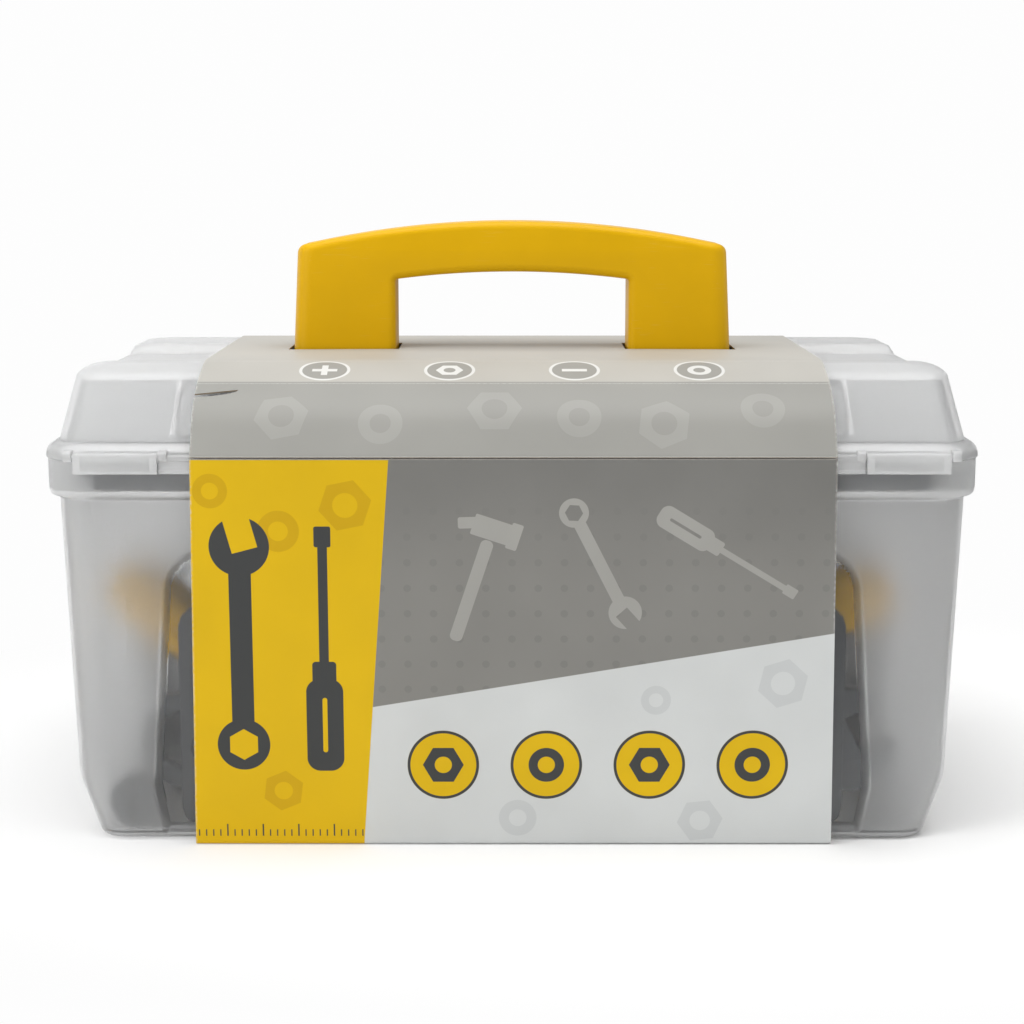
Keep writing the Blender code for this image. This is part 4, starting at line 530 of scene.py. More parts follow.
def new_group(name, inputs, outputs):
    """A shader node group, its inputs (a number, or None for a vector) and the sockets of its number outputs."""
    tree = bpy.data.node_groups.new(name, "ShaderNodeTree")
    for label, value in inputs.items():
        kind = "NodeSocketVector" if value is None else "NodeSocketFloat"
        socket = tree.interface.new_socket(label, in_out="INPUT", socket_type=kind)
        if value is not None:
            socket.default_value = value
    for label in outputs:
        tree.interface.new_socket(label, in_out="OUTPUT", socket_type="NodeSocketFloat")
    t = Nodes(tree)
    given = t.add("NodeGroupInput").outputs
    return t, {label: Value(t, given[label]) for label in inputs}, t.add("NodeGroupOutput").inputs


def mould_grain_group():
    """The fine grain of a mould as a height for a bump, and as masks its slow changes and the scuffs of play."""
    t, given, result = new_group("mould grain", {"Grain Size": GRAIN_SIZE, "Cloud Size": 0.03, "Scuff Size": 0.0007},
                                 ("Height", "Clouds", "Scuffs"))
    place = t.value("TexCoord", output="Object")
    t.join(t.noise(place, 1.0 / given["Grain Size"], 2.0, 0.6), result["Height"])
    slow = t.noise(place, 1.0 / given["Cloud Size"], 3.0)
    fine_lines = 1.0 / given["Scuff Size"]
    scuffs = []
    for turn in ((0.0, 0.0, 0.35), (0.4, 0.2, -1.0)):
        stretched = t.value("Mapping", Vector=place, Rotation=turn, Scale=(0.07, 1.0, 1.0))
        scuffs.append(t.line(t.noise(stretched, fine_lines, 1.0, distortion=0.1), 14.0, -9.6))
    t.join(slow, result["Clouds"])
    t.join(t.most(*scuffs) * t.line(slow, 5.0, -2.2), result["Scuffs"])
    return t.tree


MOULD_GRAIN = mould_grain_group()


def plastic(name, colour, roughness, shade, bump=0.15, spread=0.08, transmission=0.0, gloss=0.5, glancing=1.0,
            scuffed=0.0, metallic=0.0):
    """Moulded plastic or metal: a colour and a gloss that change slowly over it, a fine grain, and fine scuffs.

    shade is how much the colour changes. glancing is how much of the roughness is left where the surface is seen
    edge on. scuffed is how much paler a scuff is.
    """
    material = bpy.data.materials.new(name)
    t = new_tree(material)
    marks = t.group(MOULD_GRAIN)
    matt = t.ranged(marks["Clouds"], *CLOUD_RANGE, roughness - spread, roughness + spread)
    if glancing < 1:
        facing = t.value("LayerWeight", output="Facing", Blend=0.5)
        matt *= t.ranged(facing, 0.45, 0.95, 1.0, glancing, smooth=True)
    rough = t.add("Bump", Strength=bump, Distance=GRAIN_SIZE, Height=marks["Height"])
    dark, light = ((*(min(1.0, c * (1 + change)) for c in colour), 1) for change in (-shade, shade))
    tint = t.mix(t.ranged(marks["Clouds"], *CLOUD_RANGE), dark, light)
    if scuffed:
        tint = t.mix(marks["Scuffs"] * scuffed, tint, (*(0.5 + 0.5 * c for c in colour), 1))
    t.finish(t.add("BsdfPrincipled", Base_Color=tint, Roughness=matt, IOR=1.49, Metallic=metallic,
                   Transmission_Weight=transmission, Specular_IOR_Level=gloss, Normal=rough))
    return material


FROSTED = plastic("frosted polypropylene", (0.980, 0.983, 0.983), 0.46, transmission=0.90, glancing=0.70, spread=0.04,
                  shade=0.006)
FROSTED_PANEL = plastic("smoother frosted polypropylene", (0.970, 0.975, 0.977), 0.17, transmission=0.975, gloss=0.35,
                        spread=0.02, shade=0.006)
# A whiter, less clear copy of the frosted plastic, laid as a painted highlight on corners, rims, edges and tops where
# light catches them.
FROSTED_PAINTED_HIGHLIGHT = plastic("painted highlight frosted polypropylene", (0.980, 0.983, 0.983), 0.40, transmission=0.66, glancing=0.76,
                        spread=0.04, shade=0.006)


def make_case():
    along = spaced((0.0, 0.36, 10), (0.36, 0.56, 12), (0.56, 0.73, 6), (0.73, 0.84, 15), (0.84, 0.88, 16),
                   (0.88, 1.0, 7))
    mesh = shell_mesh("case", case_sections(), along, spaced((0.0, 1.0, 16)), sink_case_panels)
    middles = face_middles(mesh)
    x, y, z = np.abs(middles[:, 0]), np.abs(middles[:, 1]), middles[:, 2]
    # The band under the rim, strips down the upright corners, and the floor and foot are painted with a highlight in
    # the whiter copy of the plastic.
    outside = (y > WALL_TOP[1] - WALL / 2) | (x > WALL_TOP[0] - WALL / 2)
    painted_highlight = (z > RIM_WALL_Z[0]) & (z < RIM_WALL_Z[1]) & outside
    painted_highlight |= end_strip(middles, (CASE_Z, *BASE), (BREAK_Z, *BREAK))
    painted_highlight |= end_strip(middles, (BREAK_Z, *BREAK), (RIM_Z, *WALL_TOP))
    painted_highlight |= z < FOOT_PAINTED_HIGHLIGHT_Z
    panel = (sunk_depth(middles) > PANEL_FLAT) & (y > PANEL_Y) & ~painted_highlight
    put(mesh, FROSTED, "case", "case_body", slot="frosted", others=(FROSTED_PAINTED_HIGHLIGHT, FROSTED_PANEL),
        finish=np.where(painted_highlight, 1, np.where(panel, 2, 0)))


make_case()

# --- Lid ---------------------------------------------------------------------------------------------------
# The same frosted plastic, moulded as a flange, a dome with steep ends and a long trough across its top, and
# a shallow sunk panel on its front slope. A rail hangs over the front of the rim between the two latches.

LID_SEAT = 0.1368
FLANGE = (0.1621, 0.0956, 0.0173)
FLANGE_TOP = 0.1426
FLANGE_ROUND = 0.0050
DOME = (0.1570, 0.0895, 0.0085)
BROW = (0.1549, 0.0670, 0.0085)
BROW_Z = 0.1630
LID_ROUND_SHARES = ((0.0, 0.0, 0.0), (0.04, 0.09, 0.18), (0.10, 0.21, 0.35), (0.19, 0.38, 0.53), (0.30, 0.57, 0.675),
                    (0.37, 0.64, 0.735), (0.44, 0.70, 0.785), (0.52, 0.765, 0.835), (0.60, 0.82, 0.875),
                    (0.70, 0.875, 0.92), (0.80, 0.92, 0.96), (1.0, 1.0, 1.0))
LID_ROUND = (0.0104, 0.0105, 0.0040)
LID_TOP = 0.1670
LIP_DEPTH = 0.0034
LIP_GAP = 0.0004
LIP_WALL = 0.0015
HUMP_END = (0.1482, 0.1508)
CHANNEL_Z = 0.1636
CHANNEL_FRONT = -0.0430
CHANNEL_BACK = 0.0190
CHANNEL_SLOPE = 0.0055
CHANNEL_FADE_Z = 0.1510
SCALLOP_X = 0.1316
SCALLOP_Y = CHANNEL_BACK + 0.0014
SCALLOP_HALF = (0.0062, 0.0030)
SCALLOP_DEPTH = 0.0009
LID_FRONT_Y = -0.06
LID_PANEL = 0.1176
LID_PANEL_MARGIN = 0.0009
LID_PANEL_CORNER = 0.0055
LID_PANEL_SLOPE = 0.0016
LID_PANEL_DEPTH = 0.0009
LID_PANEL_LINE = (LID_PANEL - 0.0006, 0.0007)
LATCH_X = 0.1352
LATCH_Z = 0.1384
LATCH_HALF = 0.0143
LATCH_ROOM = LATCH_HALF + 0.0004
POCKET_Y = -0.0946
POCKET_TOP = 0.1402
POCKET_SLOPE = 0.0005
LID_LEAN = (DOME[1] - BROW[1]) / (BROW_Z - FLANGE_TOP)

FROSTED_LID = plastic("frosted lid polypropylene", (0.972, 0.977, 0.977), 0.40, transmission=0.85, glancing=0.76,
                      spread=0.04, shade=0.006)


def lid_dome(inset):
    """From the foot of the dome up over its brow to its top, shrunk by a wall for the inside."""
    sections = [(FLANGE_TOP - inset, *grown(DOME, -inset))]
    for along, across, upward in LID_ROUND_SHARES:
        sections.append((BROW_Z + upward * LID_ROUND[2] - inset, BROW[0] - along * LID_ROUND[0] - inset,
                         BROW[1] - across * LID_ROUND[1] - inset, BROW[2] - inset))
    return sections


def lid_sections():
    flange = [(z, *grown(FLANGE, out)) for out, z in
              arc((-FLANGE_ROUND, FLANGE_TOP - FLANGE_ROUND), FLANGE_ROUND, 0, 90, 8)]
    lip = grown(RIM, -WALL - LIP_GAP)
    inner_lip = grown(lip, -LIP_WALL)
    outside = [(LID_SEAT, *lip), (LID_SEAT, *FLANGE), *flange, *lid_dome(0.0)]
    inside = [(LID_SEAT - LIP_DEPTH, *inner_lip), (FLANGE_TOP - 2 * WALL, *inner_lip), *lid_dome(WALL)]
    under = eased([inside[1], inside[0], (LID_SEAT - LIP_DEPTH, *lip), *outside[:3]],
                  (0.0004, 0.0004, 0.0003, 0.0004), 2)
    foot = len(flange) + 1
    over = eased(outside[foot:foot + 3], (0.0016,))
    profile = [*inside[:1:-1], *under, *outside[3:foot], *over, *outside[foot + 3:]]
    return divided(profile, 0.0022, (FLANGE_TOP - WALL, BROW_Z, 0.0012))


def shape_lid(co, section_of):
    """Sinks the front panel, carves the trough across the top, the scallops and the latches' pockets."""
    x, y, z = co.T.copy()
    outer = section_of > section_of.max() // 2
    half = (BROW_Z - FLANGE_TOP) / 2
    across = np.abs(x) - (LID_PANEL - LID_PANEL_CORNER)
    up = np.abs(z - FLANGE_TOP - half) - (half - LID_PANEL_MARGIN - LID_PANEL_CORNER)
    inside = (LID_PANEL_CORNER - np.hypot(np.maximum(across, 0), np.maximum(up, 0))
              - np.minimum(np.maximum(across, up), 0))
    depth = ramp(inside, LID_PANEL_SLOPE) * LID_PANEL_DEPTH
    front = (y < LID_FRONT_Y) & (z > FLANGE_TOP - WALL)
    slope = math.hypot(1, LID_LEAN)
    y += np.where(front, depth / slope, 0)
    z -= np.where(front, depth * LID_LEAN / slope, 0)
    trough = np.minimum(ramp(y - CHANNEL_FRONT + CHANNEL_SLOPE, CHANNEL_SLOPE),
                        ramp(CHANNEL_BACK + CHANNEL_SLOPE - y, CHANNEL_SLOPE))
    end = np.where(y > CHANNEL_BACK, ramp(np.abs(x) - HUMP_END[0], HUMP_END[1] - HUMP_END[0]), 0.0)
    above = z + np.where(outer, 0.0, WALL)
    fade = np.clip((above - CHANNEL_FADE_Z) / (BROW_Z - CHANNEL_FADE_Z), 0, 1)
    z -= (LID_TOP - CHANNEL_Z) * np.maximum(trough, end) * fade
    for side in (-1, 1):
        sx, sy = (x - side * SCALLOP_X) / SCALLOP_HALF[0], (y - SCALLOP_Y) / SCALLOP_HALF[1]
        dip = np.clip(1 - sx ** 2 - sy ** 2, 0, 1)
        z -= np.where(outer & (z > CHANNEL_Z - 0.0006), np.sqrt(dip) * SCALLOP_DEPTH, 0)
        beside = ramp(LATCH_ROOM + 0.0004 - np.abs(x - side * LATCH_X), POCKET_SLOPE)
        pocket = (y < POCKET_Y) & (z < POCKET_TOP) & (z > LID_SEAT - 0.001)
        y = np.where(pocket, y + (POCKET_Y - y) * beside, y)
    return np.stack([x, y, z], axis=1)


def make_lid():
    latch, room = (length / (FLANGE[0] - FLANGE[2]) for length in (LATCH_X, LATCH_ROOM))
    along = spaced((0.0, 0.76, 30), (0.76, 0.797, 6), (0.797, 0.817, 10), (0.817, latch - room - 0.01, 5),
                   (latch - room - 0.01, latch - room + 0.01, 8), (latch - room + 0.01, 1.0, 20))
    across = spaced((0.0, 0.2, 5), (0.2, 0.28, 6), (0.28, 0.36, 8), (0.36, 0.55, 8), (0.55, 0.75, 10), (0.75, 1.0, 12))
    mesh = shell_mesh("lid", lid_sections(), along, across, shape_lid)
    middles = face_middles(mesh)
    x, y, z = np.abs(middles[:, 0]), np.abs(middles[:, 1]), middles[:, 2]
    # The flange's outer band, strips down the dome's corners, the sides of the front panel and the top of the brow are
    # painted with a highlight in the whiter copy of the plastic.
    painted_highlight = (z > 0.1396) & (z < FLANGE_TOP + 0.0002) & ((y > DOME[1] + 0.0020) | (x > DOME[0] + 0.0020))
    painted_highlight |= end_strip(middles, (FLANGE_TOP + 0.0008, *DOME), (BROW_Z, *BROW))
    panel_side = (np.abs(x - LID_PANEL_LINE[0]) < LID_PANEL_LINE[1]) & (middles[:, 1] < LID_FRONT_Y)
    painted_highlight |= panel_side & (z > FLANGE_TOP + 0.0020) & (z < BROW_Z - 0.0010)
    painted_highlight |= z > BROW_Z - 0.0012
    put(mesh, FROSTED_LID, "lid", "lid_shell", slot="frosted", others=(FROSTED_PAINTED_HIGHLIGHT,), finish=painted_highlight)


make_lid()

FINE_EDGE = 0.0002
SOFT_EDGE = 0.0003
RAIL_BACK, RAIL_INNER, RAIL_FRONT = -0.0938, -0.0953, -0.0974
RAIL_Z = (0.1327, 0.1392)
RAIL_BEAD = 0.0005
PIN_BLOCK = ((-0.0980, 0.1377), (-0.0971, 0.1368), (-0.0932, 0.1368), (-0.0932, 0.1406), (-0.0971, 0.1406),
             (-0.0980, 0.1397))
PIN_BLOCK_HALF = 0.0015
HINGE = (HINGE_Y, RIM_TOP)
HINGE_PIN = 0.0020
HOOK_OUTER = 0.0040
HOOK_INNER = 0.0023
HOOK_THICK = 0.0022
LUG_RADIUS = 0.0028
LUG_DROP = 0.010
LUG_Y = 0.0941
CATCH_Y = (-0.0959, -0.0945)
CATCH_TOP = LATCH_Z - 0.0028
CATCH_THICK = 0.0012
CATCH_HALF = LATCH_HALF - 0.0029


def from_mesh(mesh):
    shape = bmesh.new()
    shape.from_mesh(mesh)
    return shape


def into_mesh(shape, mesh):
    """Turns a bmesh into a mesh: the one that is given, or a new one of the name that is given."""
    if isinstance(mesh, str):
        mesh = bpy.data.meshes.new(mesh)
    shape.to_mesh(mesh)
    shape.free()
    return mesh


def bevel_edges(shape, width, segments=2, angle=28):
    """Rounds the edges of a bmesh that turn by more than an angle."""
    edges = [e for e in shape.edges if len(e.link_faces) == 2 and e.calc_face_angle(0) > math.radians(angle)]
    bmesh.ops.bevel(shape, geom=edges, offset=width, segments=segments, profile=0.5, affect="EDGES",
                    clamp_overlap=True)


def extruded(outline, middle, half, round_edge=0.0):
    """A mesh from a (y, z) outline that runs along x, as far as half each way from a middle."""
    shape = bmesh.new()
    near, far = ([shape.verts.new((x, y, z)) for y, z in outline] for x in (middle - half, middle + half))
    for i in range(len(outline)):
        after = (i + 1) % len(outline)
        shape.faces.new((near[i], near[after], far[after], far[i]))
    shape.faces.new(near[::-1])
    shape.faces.new(far)
    bmesh.ops.recalc_face_normals(shape, faces=shape.faces)
    if round_edge:
        bevel_edges(shape, round_edge)
    return into_mesh(shape, "extruded")


def joined(name, meshes):
    """One mesh of several."""
    shape = bmesh.new()
    for mesh in meshes:
        shape.from_mesh(mesh)
        bpy.data.meshes.remove(mesh)
    return into_mesh(shape, name)


def make_lid_fittings():
    """The rail, the blocks that hold the latches' pins, and the hooks over the hinge pins."""
    low, high = RAIL_Z
    front, bulge = RAIL_FRONT, RAIL_FRONT + RAIL_BEAD
    rail = [(RAIL_INNER, low), (front, low), (front, low + 0.001), (bulge, low + 0.0015), (bulge, LID_SEAT),
            (front, LID_SEAT + RAIL_BEAD), (front, high - RAIL_BEAD), (bulge, high), (RAIL_BACK, high),
            (RAIL_BACK, LID_SEAT + 0.0006), (RAIL_INNER, LID_SEAT + 0.0006)]
    pieces = [extruded(rail, 0.0, LATCH_X - LATCH_HALF - 0.0005, FINE_EDGE)]
    hook = [*arc(HINGE, HOOK_OUTER, -40, 90, 14), (LUG_Y, RIM_TOP + HOOK_OUTER),
            (LUG_Y, RIM_TOP + HOOK_OUTER - HOOK_THICK), *arc(HINGE, HOOK_OUTER, 158, 220, 7),
            *arc(HINGE, HOOK_INNER, 220, -40, 24)]
    for side in (-1, 1):
        for end in (-1, 1):
            x = side * LATCH_X + end * (LATCH_ROOM + PIN_BLOCK_HALF)
            pieces.append(extruded(PIN_BLOCK, x, PIN_BLOCK_HALF, SOFT_EDGE))
        pieces.append(extruded(hook, side * HINGE_X, HINGE_LENGTH / 2 - HINGE_LUG - 0.0005, FINE_EDGE))
    mesh = joined("lid_fittings", pieces)
    # The front faces of the rail and the pin blocks are painted with a highlight in the whiter copy of the plastic.
    put(mesh, FROSTED_LID, "lid", slot="frosted", others=(FROSTED_PAINTED_HIGHLIGHT,), finish=face_middles(mesh)[:, 1] < 0)


def make_case_fittings():
    """The lugs and pins on the back of the case's rim, and the catches under its front."""
    lug = [(LUG_Y, RIM_TOP - LUG_DROP), (0.0950, RIM_TOP - LUG_DROP), *arc(HINGE, LUG_RADIUS, -30, 180, 20),
           (HINGE_Y - LUG_RADIUS, RIM_TOP - 0.0003), (LUG_Y, RIM_TOP - 0.0003)]
    pin = arc(HINGE, HINGE_PIN, 0, 345, 23)
    catch = [(CATCH_Y[0], CATCH_TOP - CATCH_THICK), (CATCH_Y[1], CATCH_TOP - CATCH_THICK), (CATCH_Y[1], CATCH_TOP),
             (CATCH_Y[0], CATCH_TOP)]
    reach = (HINGE_LENGTH - HINGE_LUG) / 2
    pieces = []
    for side in (-1, 1):
        for end in (-1, 1):
            pieces.append(extruded(lug, side * HINGE_X + end * reach, HINGE_LUG / 2, SOFT_EDGE))
        pieces.append(extruded(pin, side * HINGE_X, reach))
        pieces.append(extruded(catch, side * LATCH_X, CATCH_HALF, FINE_EDGE))
    put(joined("case_fittings", pieces), FROSTED, "case", slot="frosted")


make_lid_fittings()
make_case_fittings()

# --- Latches -----------------------------------------------------------------------------------------------
# Two small frosted flaps that pivot on the lid. Each is a barrel, a thin plate between two end ribs, and a lip
# along its foot for the finger; a nib behind the plate snaps under the catch on the rim.

LATCH_RIB = 0.0024
LATCH_TOP_BAND = 0.1379
LATCH_FOOT_BAND = 0.1338
SMALLEST = 0.000004
FLAT_ANGLE = math.radians(0.5)

FROSTED_LATCH = plastic("frosted latch polypropylene", (0.975, 0.980, 0.980), 0.40, transmission=0.74, glancing=0.76,
                        spread=0.04, shade=0.006)


def refined(node, name, width, segments=2):
    """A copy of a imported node's mesh with its flat faces whole again and its edges rounded."""
    shape = from_mesh(frame["nodes"][node].data)
    bmesh.ops.remove_doubles(shape, verts=shape.verts, dist=SMALLEST)
    bmesh.ops.dissolve_degenerate(shape, edges=shape.edges, dist=SMALLEST)
    bmesh.ops.dissolve_limit(shape, angle_limit=FLAT_ANGLE, verts=shape.verts, edges=shape.edges)
    bevel_edges(shape, width, segments)
    bmesh.ops.remove_doubles(shape, verts=shape.verts, dist=SMALLEST)
    return into_mesh(shape, name)


def cut_through(shape, place, normal, **more):
    """Cuts a bmesh along a plane, and returns the new points and edges."""
    return bmesh.ops.bisect_plane(shape, geom=[*shape.verts, *shape.edges, *shape.faces], plane_co=place,
                                  plane_no=normal, **more)["geom_cut"]


def make_latch(node):
    """A flap whose end ribs, barrel and foot, thicker than its middle, are painted with a highlight in the whiter copy
    of the plastic.
    """
    mesh = refined(node, f"{node}_flap", FINE_EDGE)
    middle = math.copysign(LATCH_X, mesh.vertices[0].co.x)
    shape = from_mesh(mesh)
    for side in (-1, 1):
        cut_through(shape, (middle + side * (LATCH_HALF - LATCH_RIB), 0, 0), (1, 0, 0))
    for band in (LATCH_TOP_BAND, LATCH_FOOT_BAND):
        cut_through(shape, (0, 0, band), (0, 0, 1))
    into_mesh(shape, mesh)
    x, _, z = face_middles(mesh).T
    # The ribs, barrel and foot take the whiter plastic as a painted highlight.
    put(mesh, FROSTED_LATCH, node, node, slot="frosted", others=(FROSTED_PAINTED_HIGHLIGHT,), finish=(
        (z > LATCH_TOP_BAND) | (z < LATCH_FOOT_BAND) | (np.abs(x - middle) > LATCH_HALF - LATCH_RIB)))


make_latch("latch_left")
make_latch("latch_right")

# --- Carry handle ------------------------------------------------------------------------------------------
# One solid moulding of yellow plastic: two broad feet that flare a little, and a gently arched grip with all
# its edges rounded. Two pan-head screws hold it from inside the lid.

HANDLE_HALF = 0.0830
HANDLE_FLARE = 0.0020
HANDLE_WIDTH = 0.0260
HANDLE_FOOT_Z = 0.1639
HANDLE_BURIED = -0.003
HANDLE_CORNER = 0.0042
HANDLE_SHOULDER = 0.0424
HANDLE_CROWN = 0.0094
HANDLE_EDGE = 0.0030
HANDLE_EDGE_STEPS = 5
HANDLE_PLAN_ROUND = 0.0065
HANDLE_WINDOW_HALF = 0.0438
HANDLE_WINDOW_Z = 0.0304
HANDLE_WINDOW_CROWN = 0.0027
HANDLE_WINDOW_CORNER = 0.0012

YELLOW = plastic("yellow plastic", (0.70, 0.395, 0.0005), 0.38, bump=0.08, gloss=0.14, shade=0.03, scuffed=0.05)
STEEL = plastic("zinc plated steel", (0.62, 0.62, 0.60), 0.30, shade=0.06, scuffed=0.35, metallic=1.0)


def baked(holder, name):
    """The plain mesh that a curve or an object's modifiers make, under that name. The object and its data go."""
    mesh = bpy.data.meshes.new_from_object(holder.evaluated_get(bpy.context.evaluated_depsgraph_get()))
    source = holder.data
    holder.modifiers.clear()
    bpy.data.objects.remove(holder, do_unlink=True)
    bpy.data.batch_remove([source])
    mesh.name = name
    return mesh


def rounded_plate(name, outline, thickness):
    """A plate in the XY plane from a curve, with its edges rounded as the handle's are."""
    curve = bpy.data.curves.new(name, "CURVE")
    curve.dimensions = "2D"
    curve.fill_mode = "BOTH"
    curve.extrude = thickness / 2 - HANDLE_EDGE
    curve.bevel_depth = HANDLE_EDGE
    curve.bevel_resolution = HANDLE_EDGE_STEPS
    curve.offset = -HANDLE_EDGE
    spline = curve.splines.new("POLY")
    spline.points.add(len(outline) - 1)
    spline.use_cyclic_u = True
    for point, (x, y) in zip(spline.points, outline):
        point.co = (x, y, 0, 1)
    mesh = baked(new_object(name, curve), name)
    shape = from_mesh(mesh)
    bmesh.ops.remove_doubles(shape, verts=shape.verts, dist=0.000002)
    bmesh.ops.recalc_face_normals(shape, faces=shape.faces)
    return into_mesh(shape, mesh)


def arched(half, half_length, crown, low, steps):
    """An outline from its right half, its left mirrored, and a shallow arc over both that rises by its crown."""
    radius = (half_length ** 2 + crown ** 2) / (2 * crown)
    spread = math.degrees(math.asin(half_length / radius))
    arch = arc((0, low + crown - radius), radius, 90 - spread, 90 + spread, steps)
    return half + arch[1:-1] + [(-x, z) for x, z in reversed(half)]


def make_handle():
    """A plate stood upright, cut flat where it meets the lid, and rounded at its ends as seen from above."""
    top_half = HANDLE_HALF - HANDLE_FLARE
    lift = HANDLE_CORNER / 4
    shoulder = HANDLE_SHOULDER - HANDLE_CORNER
    side = [(HANDLE_HALF, HANDLE_BURIED),
            *arc((top_half - HANDLE_CORNER, shoulder + lift), HANDLE_CORNER, 0, 78, 12)]
    outline = arched(side, top_half - HANDLE_CORNER, HANDLE_CROWN - lift, HANDLE_SHOULDER + lift, 48)
    inner, corner = HANDLE_WINDOW_HALF, HANDLE_WINDOW_CORNER
    side = [(inner, HANDLE_BURIED), *arc((inner - corner, HANDLE_WINDOW_Z - corner), corner, 0, 90, 6)]
    window = arched(side, inner - corner, HANDLE_WINDOW_CROWN, HANDLE_WINDOW_Z, 30)[::-1]
    mesh = rounded_plate("handle", outline + window, HANDLE_WIDTH)
    mesh.transform(Matrix.Rotation(math.pi / 2, 4, "X"))
    shape = from_mesh(mesh)
    cut = cut_through(shape, (0, 0, 0), (0, 0, -1), clear_outer=True)
    bmesh.ops.holes_fill(shape, edges=[e for e in cut if isinstance(e, bmesh.types.BMEdge)], sides=0)
    for inset in np.linspace(0.04, 1.0, 9) ** 1.5 * HANDLE_PLAN_ROUND:
        for side in (-1, 1):
            cut_through(shape, (side * (HANDLE_HALF - inset), 0, 0), (1, 0, side * HANDLE_FLARE / shoulder))
    for vert in shape.verts:
        outside = HANDLE_HALF - HANDLE_FLARE * vert.co.z / shoulder - abs(vert.co.x)
        back = max(0.0, HANDLE_PLAN_ROUND - max(outside, 0.0))
        half = HANDLE_WIDTH / 2 - HANDLE_PLAN_ROUND + math.sqrt(HANDLE_PLAN_ROUND ** 2 - back ** 2)
        vert.co.y *= half / (HANDLE_WIDTH / 2)
    bmesh.ops.translate(shape, vec=(0, 0, HANDLE_FOOT_Z), verts=shape.verts)
    bmesh.ops.remove_doubles(shape, verts=shape.verts, dist=2 * SMALLEST)
    bmesh.ops.recalc_face_normals(shape, faces=shape.faces)
    put(into_mesh(shape, mesh), YELLOW, "lid", "carry_handle", slot="yellow", angle=40)


make_handle()
for side in ("left", "right"):
    put(refined(f"handle_screw_{side}", f"screw_{side}", FINE_EDGE), STEEL, "lid", f"handle_screw_{side}", slot="steel")

# --- Card sleeve -------------------------------------------------------------------------------------------
# A band of 0.6 mm folding boxboard round the case and over the lid, with a window for each foot of the handle.
# It is creased along the rim and over the lid's shoulders, and a short tear runs in from its left edge. It is
# printed outside with plain fields and workshop marks, and its raw edges and inside show the brown-grey board.

CARD = 0.0006
CARD_STEP = 0.004
CARD_BEND_STEPS = 6
SLEEVE_HALF = 0.1101
SLEEVE_SHIFT = 0.0005
SLEEVE_FLARE = 0.0018
SLEEVE_CREASE = (0.0980, 0.13820)
SLEEVE_BASE_Y = 0.0924
SLEEVE_BENDS = ((0.0898, 0.1532), (0.0769, 0.1612), (0.0570, 0.1673))
SLEEVE_BEND_REACH = 0.0055
SLEEVE_CORNER = 0.0016
SLEEVE_WALL_Y = 0.09
SLEEVE_TOP_HALF = 0.055
SLEEVE_BOW = 0.0004
CREASE_GAP = 0.00015
CREASE_RUNS = (0.0, 0.0322, 0.0530)
CREASE_HALF = 0.00045
WORN_EDGE = 0.0007
FOOT_WINDOW_X = (0.0426, 0.0842)
FOOT_WINDOW_Y = 0.0142
TEAR_RUN = 0.0287
TEAR_LENGTH = 0.0150
TEAR_DROP = 0.0024
TEAR_OPEN = 0.0040
INK_EDGE = 0.00014
INK_GREY = (0.226, 0.221, 0.206, 1)
INK_GREY_DEEP = (0.186, 0.183, 0.172, 1)
INK_STONE = (0.300, 0.296, 0.274, 1)
INK_STONE_LIGHT = (0.335, 0.330, 0.308, 1)
# Painted light: the flat top of the sleeve, lighter where it faces up to the light.
INK_TOP_PAINTED_LIGHT = (0.440, 0.426, 0.390, 1)
INK_YELLOW = (0.68, 0.430, 0.001, 1)
INK_YELLOW_DEEP = (0.58, 0.350, 0.001, 1)
INK_PALE = (0.595, 0.610, 0.605, 1)
INK_PALE_DEEP = (0.53, 0.545, 0.545, 1)
INK_PAPER = (0.66, 0.66, 0.64, 1)
INK_DARK = (0.050, 0.052, 0.052, 1)
BOARD_CORE = (0.30, 0.245, 0.18, 1)
BOARD_CORE_LIGHT = (0.405, 0.33075, 0.243, 1)


def rounded_path(points, reach):
    """A path of (y, z) with its inner corners rounded that far each way, and its straights divided."""
    points = [np.array(p, float) for p in points]
    made = [points[0]]
    for before, here, after in zip(points, points[1:], points[2:]):
        start, end = (here + (other - here) / np.linalg.norm(other - here) * reach for other in (before, after))
        shares = [step / CARD_BEND_STEPS for step in range(CARD_BEND_STEPS + 1)]
        made += [start * (1 - t) ** 2 + here * 2 * t * (1 - t) + end * t * t for t in shares]
    made.append(points[-1])
    fine = [made[0]]
    for low, high in zip(made, made[1:]):
        pieces = max(1, math.ceil(np.linalg.norm(high - low) / CARD_STEP - 1e-6))
        fine += [low + (high - low) * n / pieces for n in range(1, pieces + 1)]
    return np.array(fine)


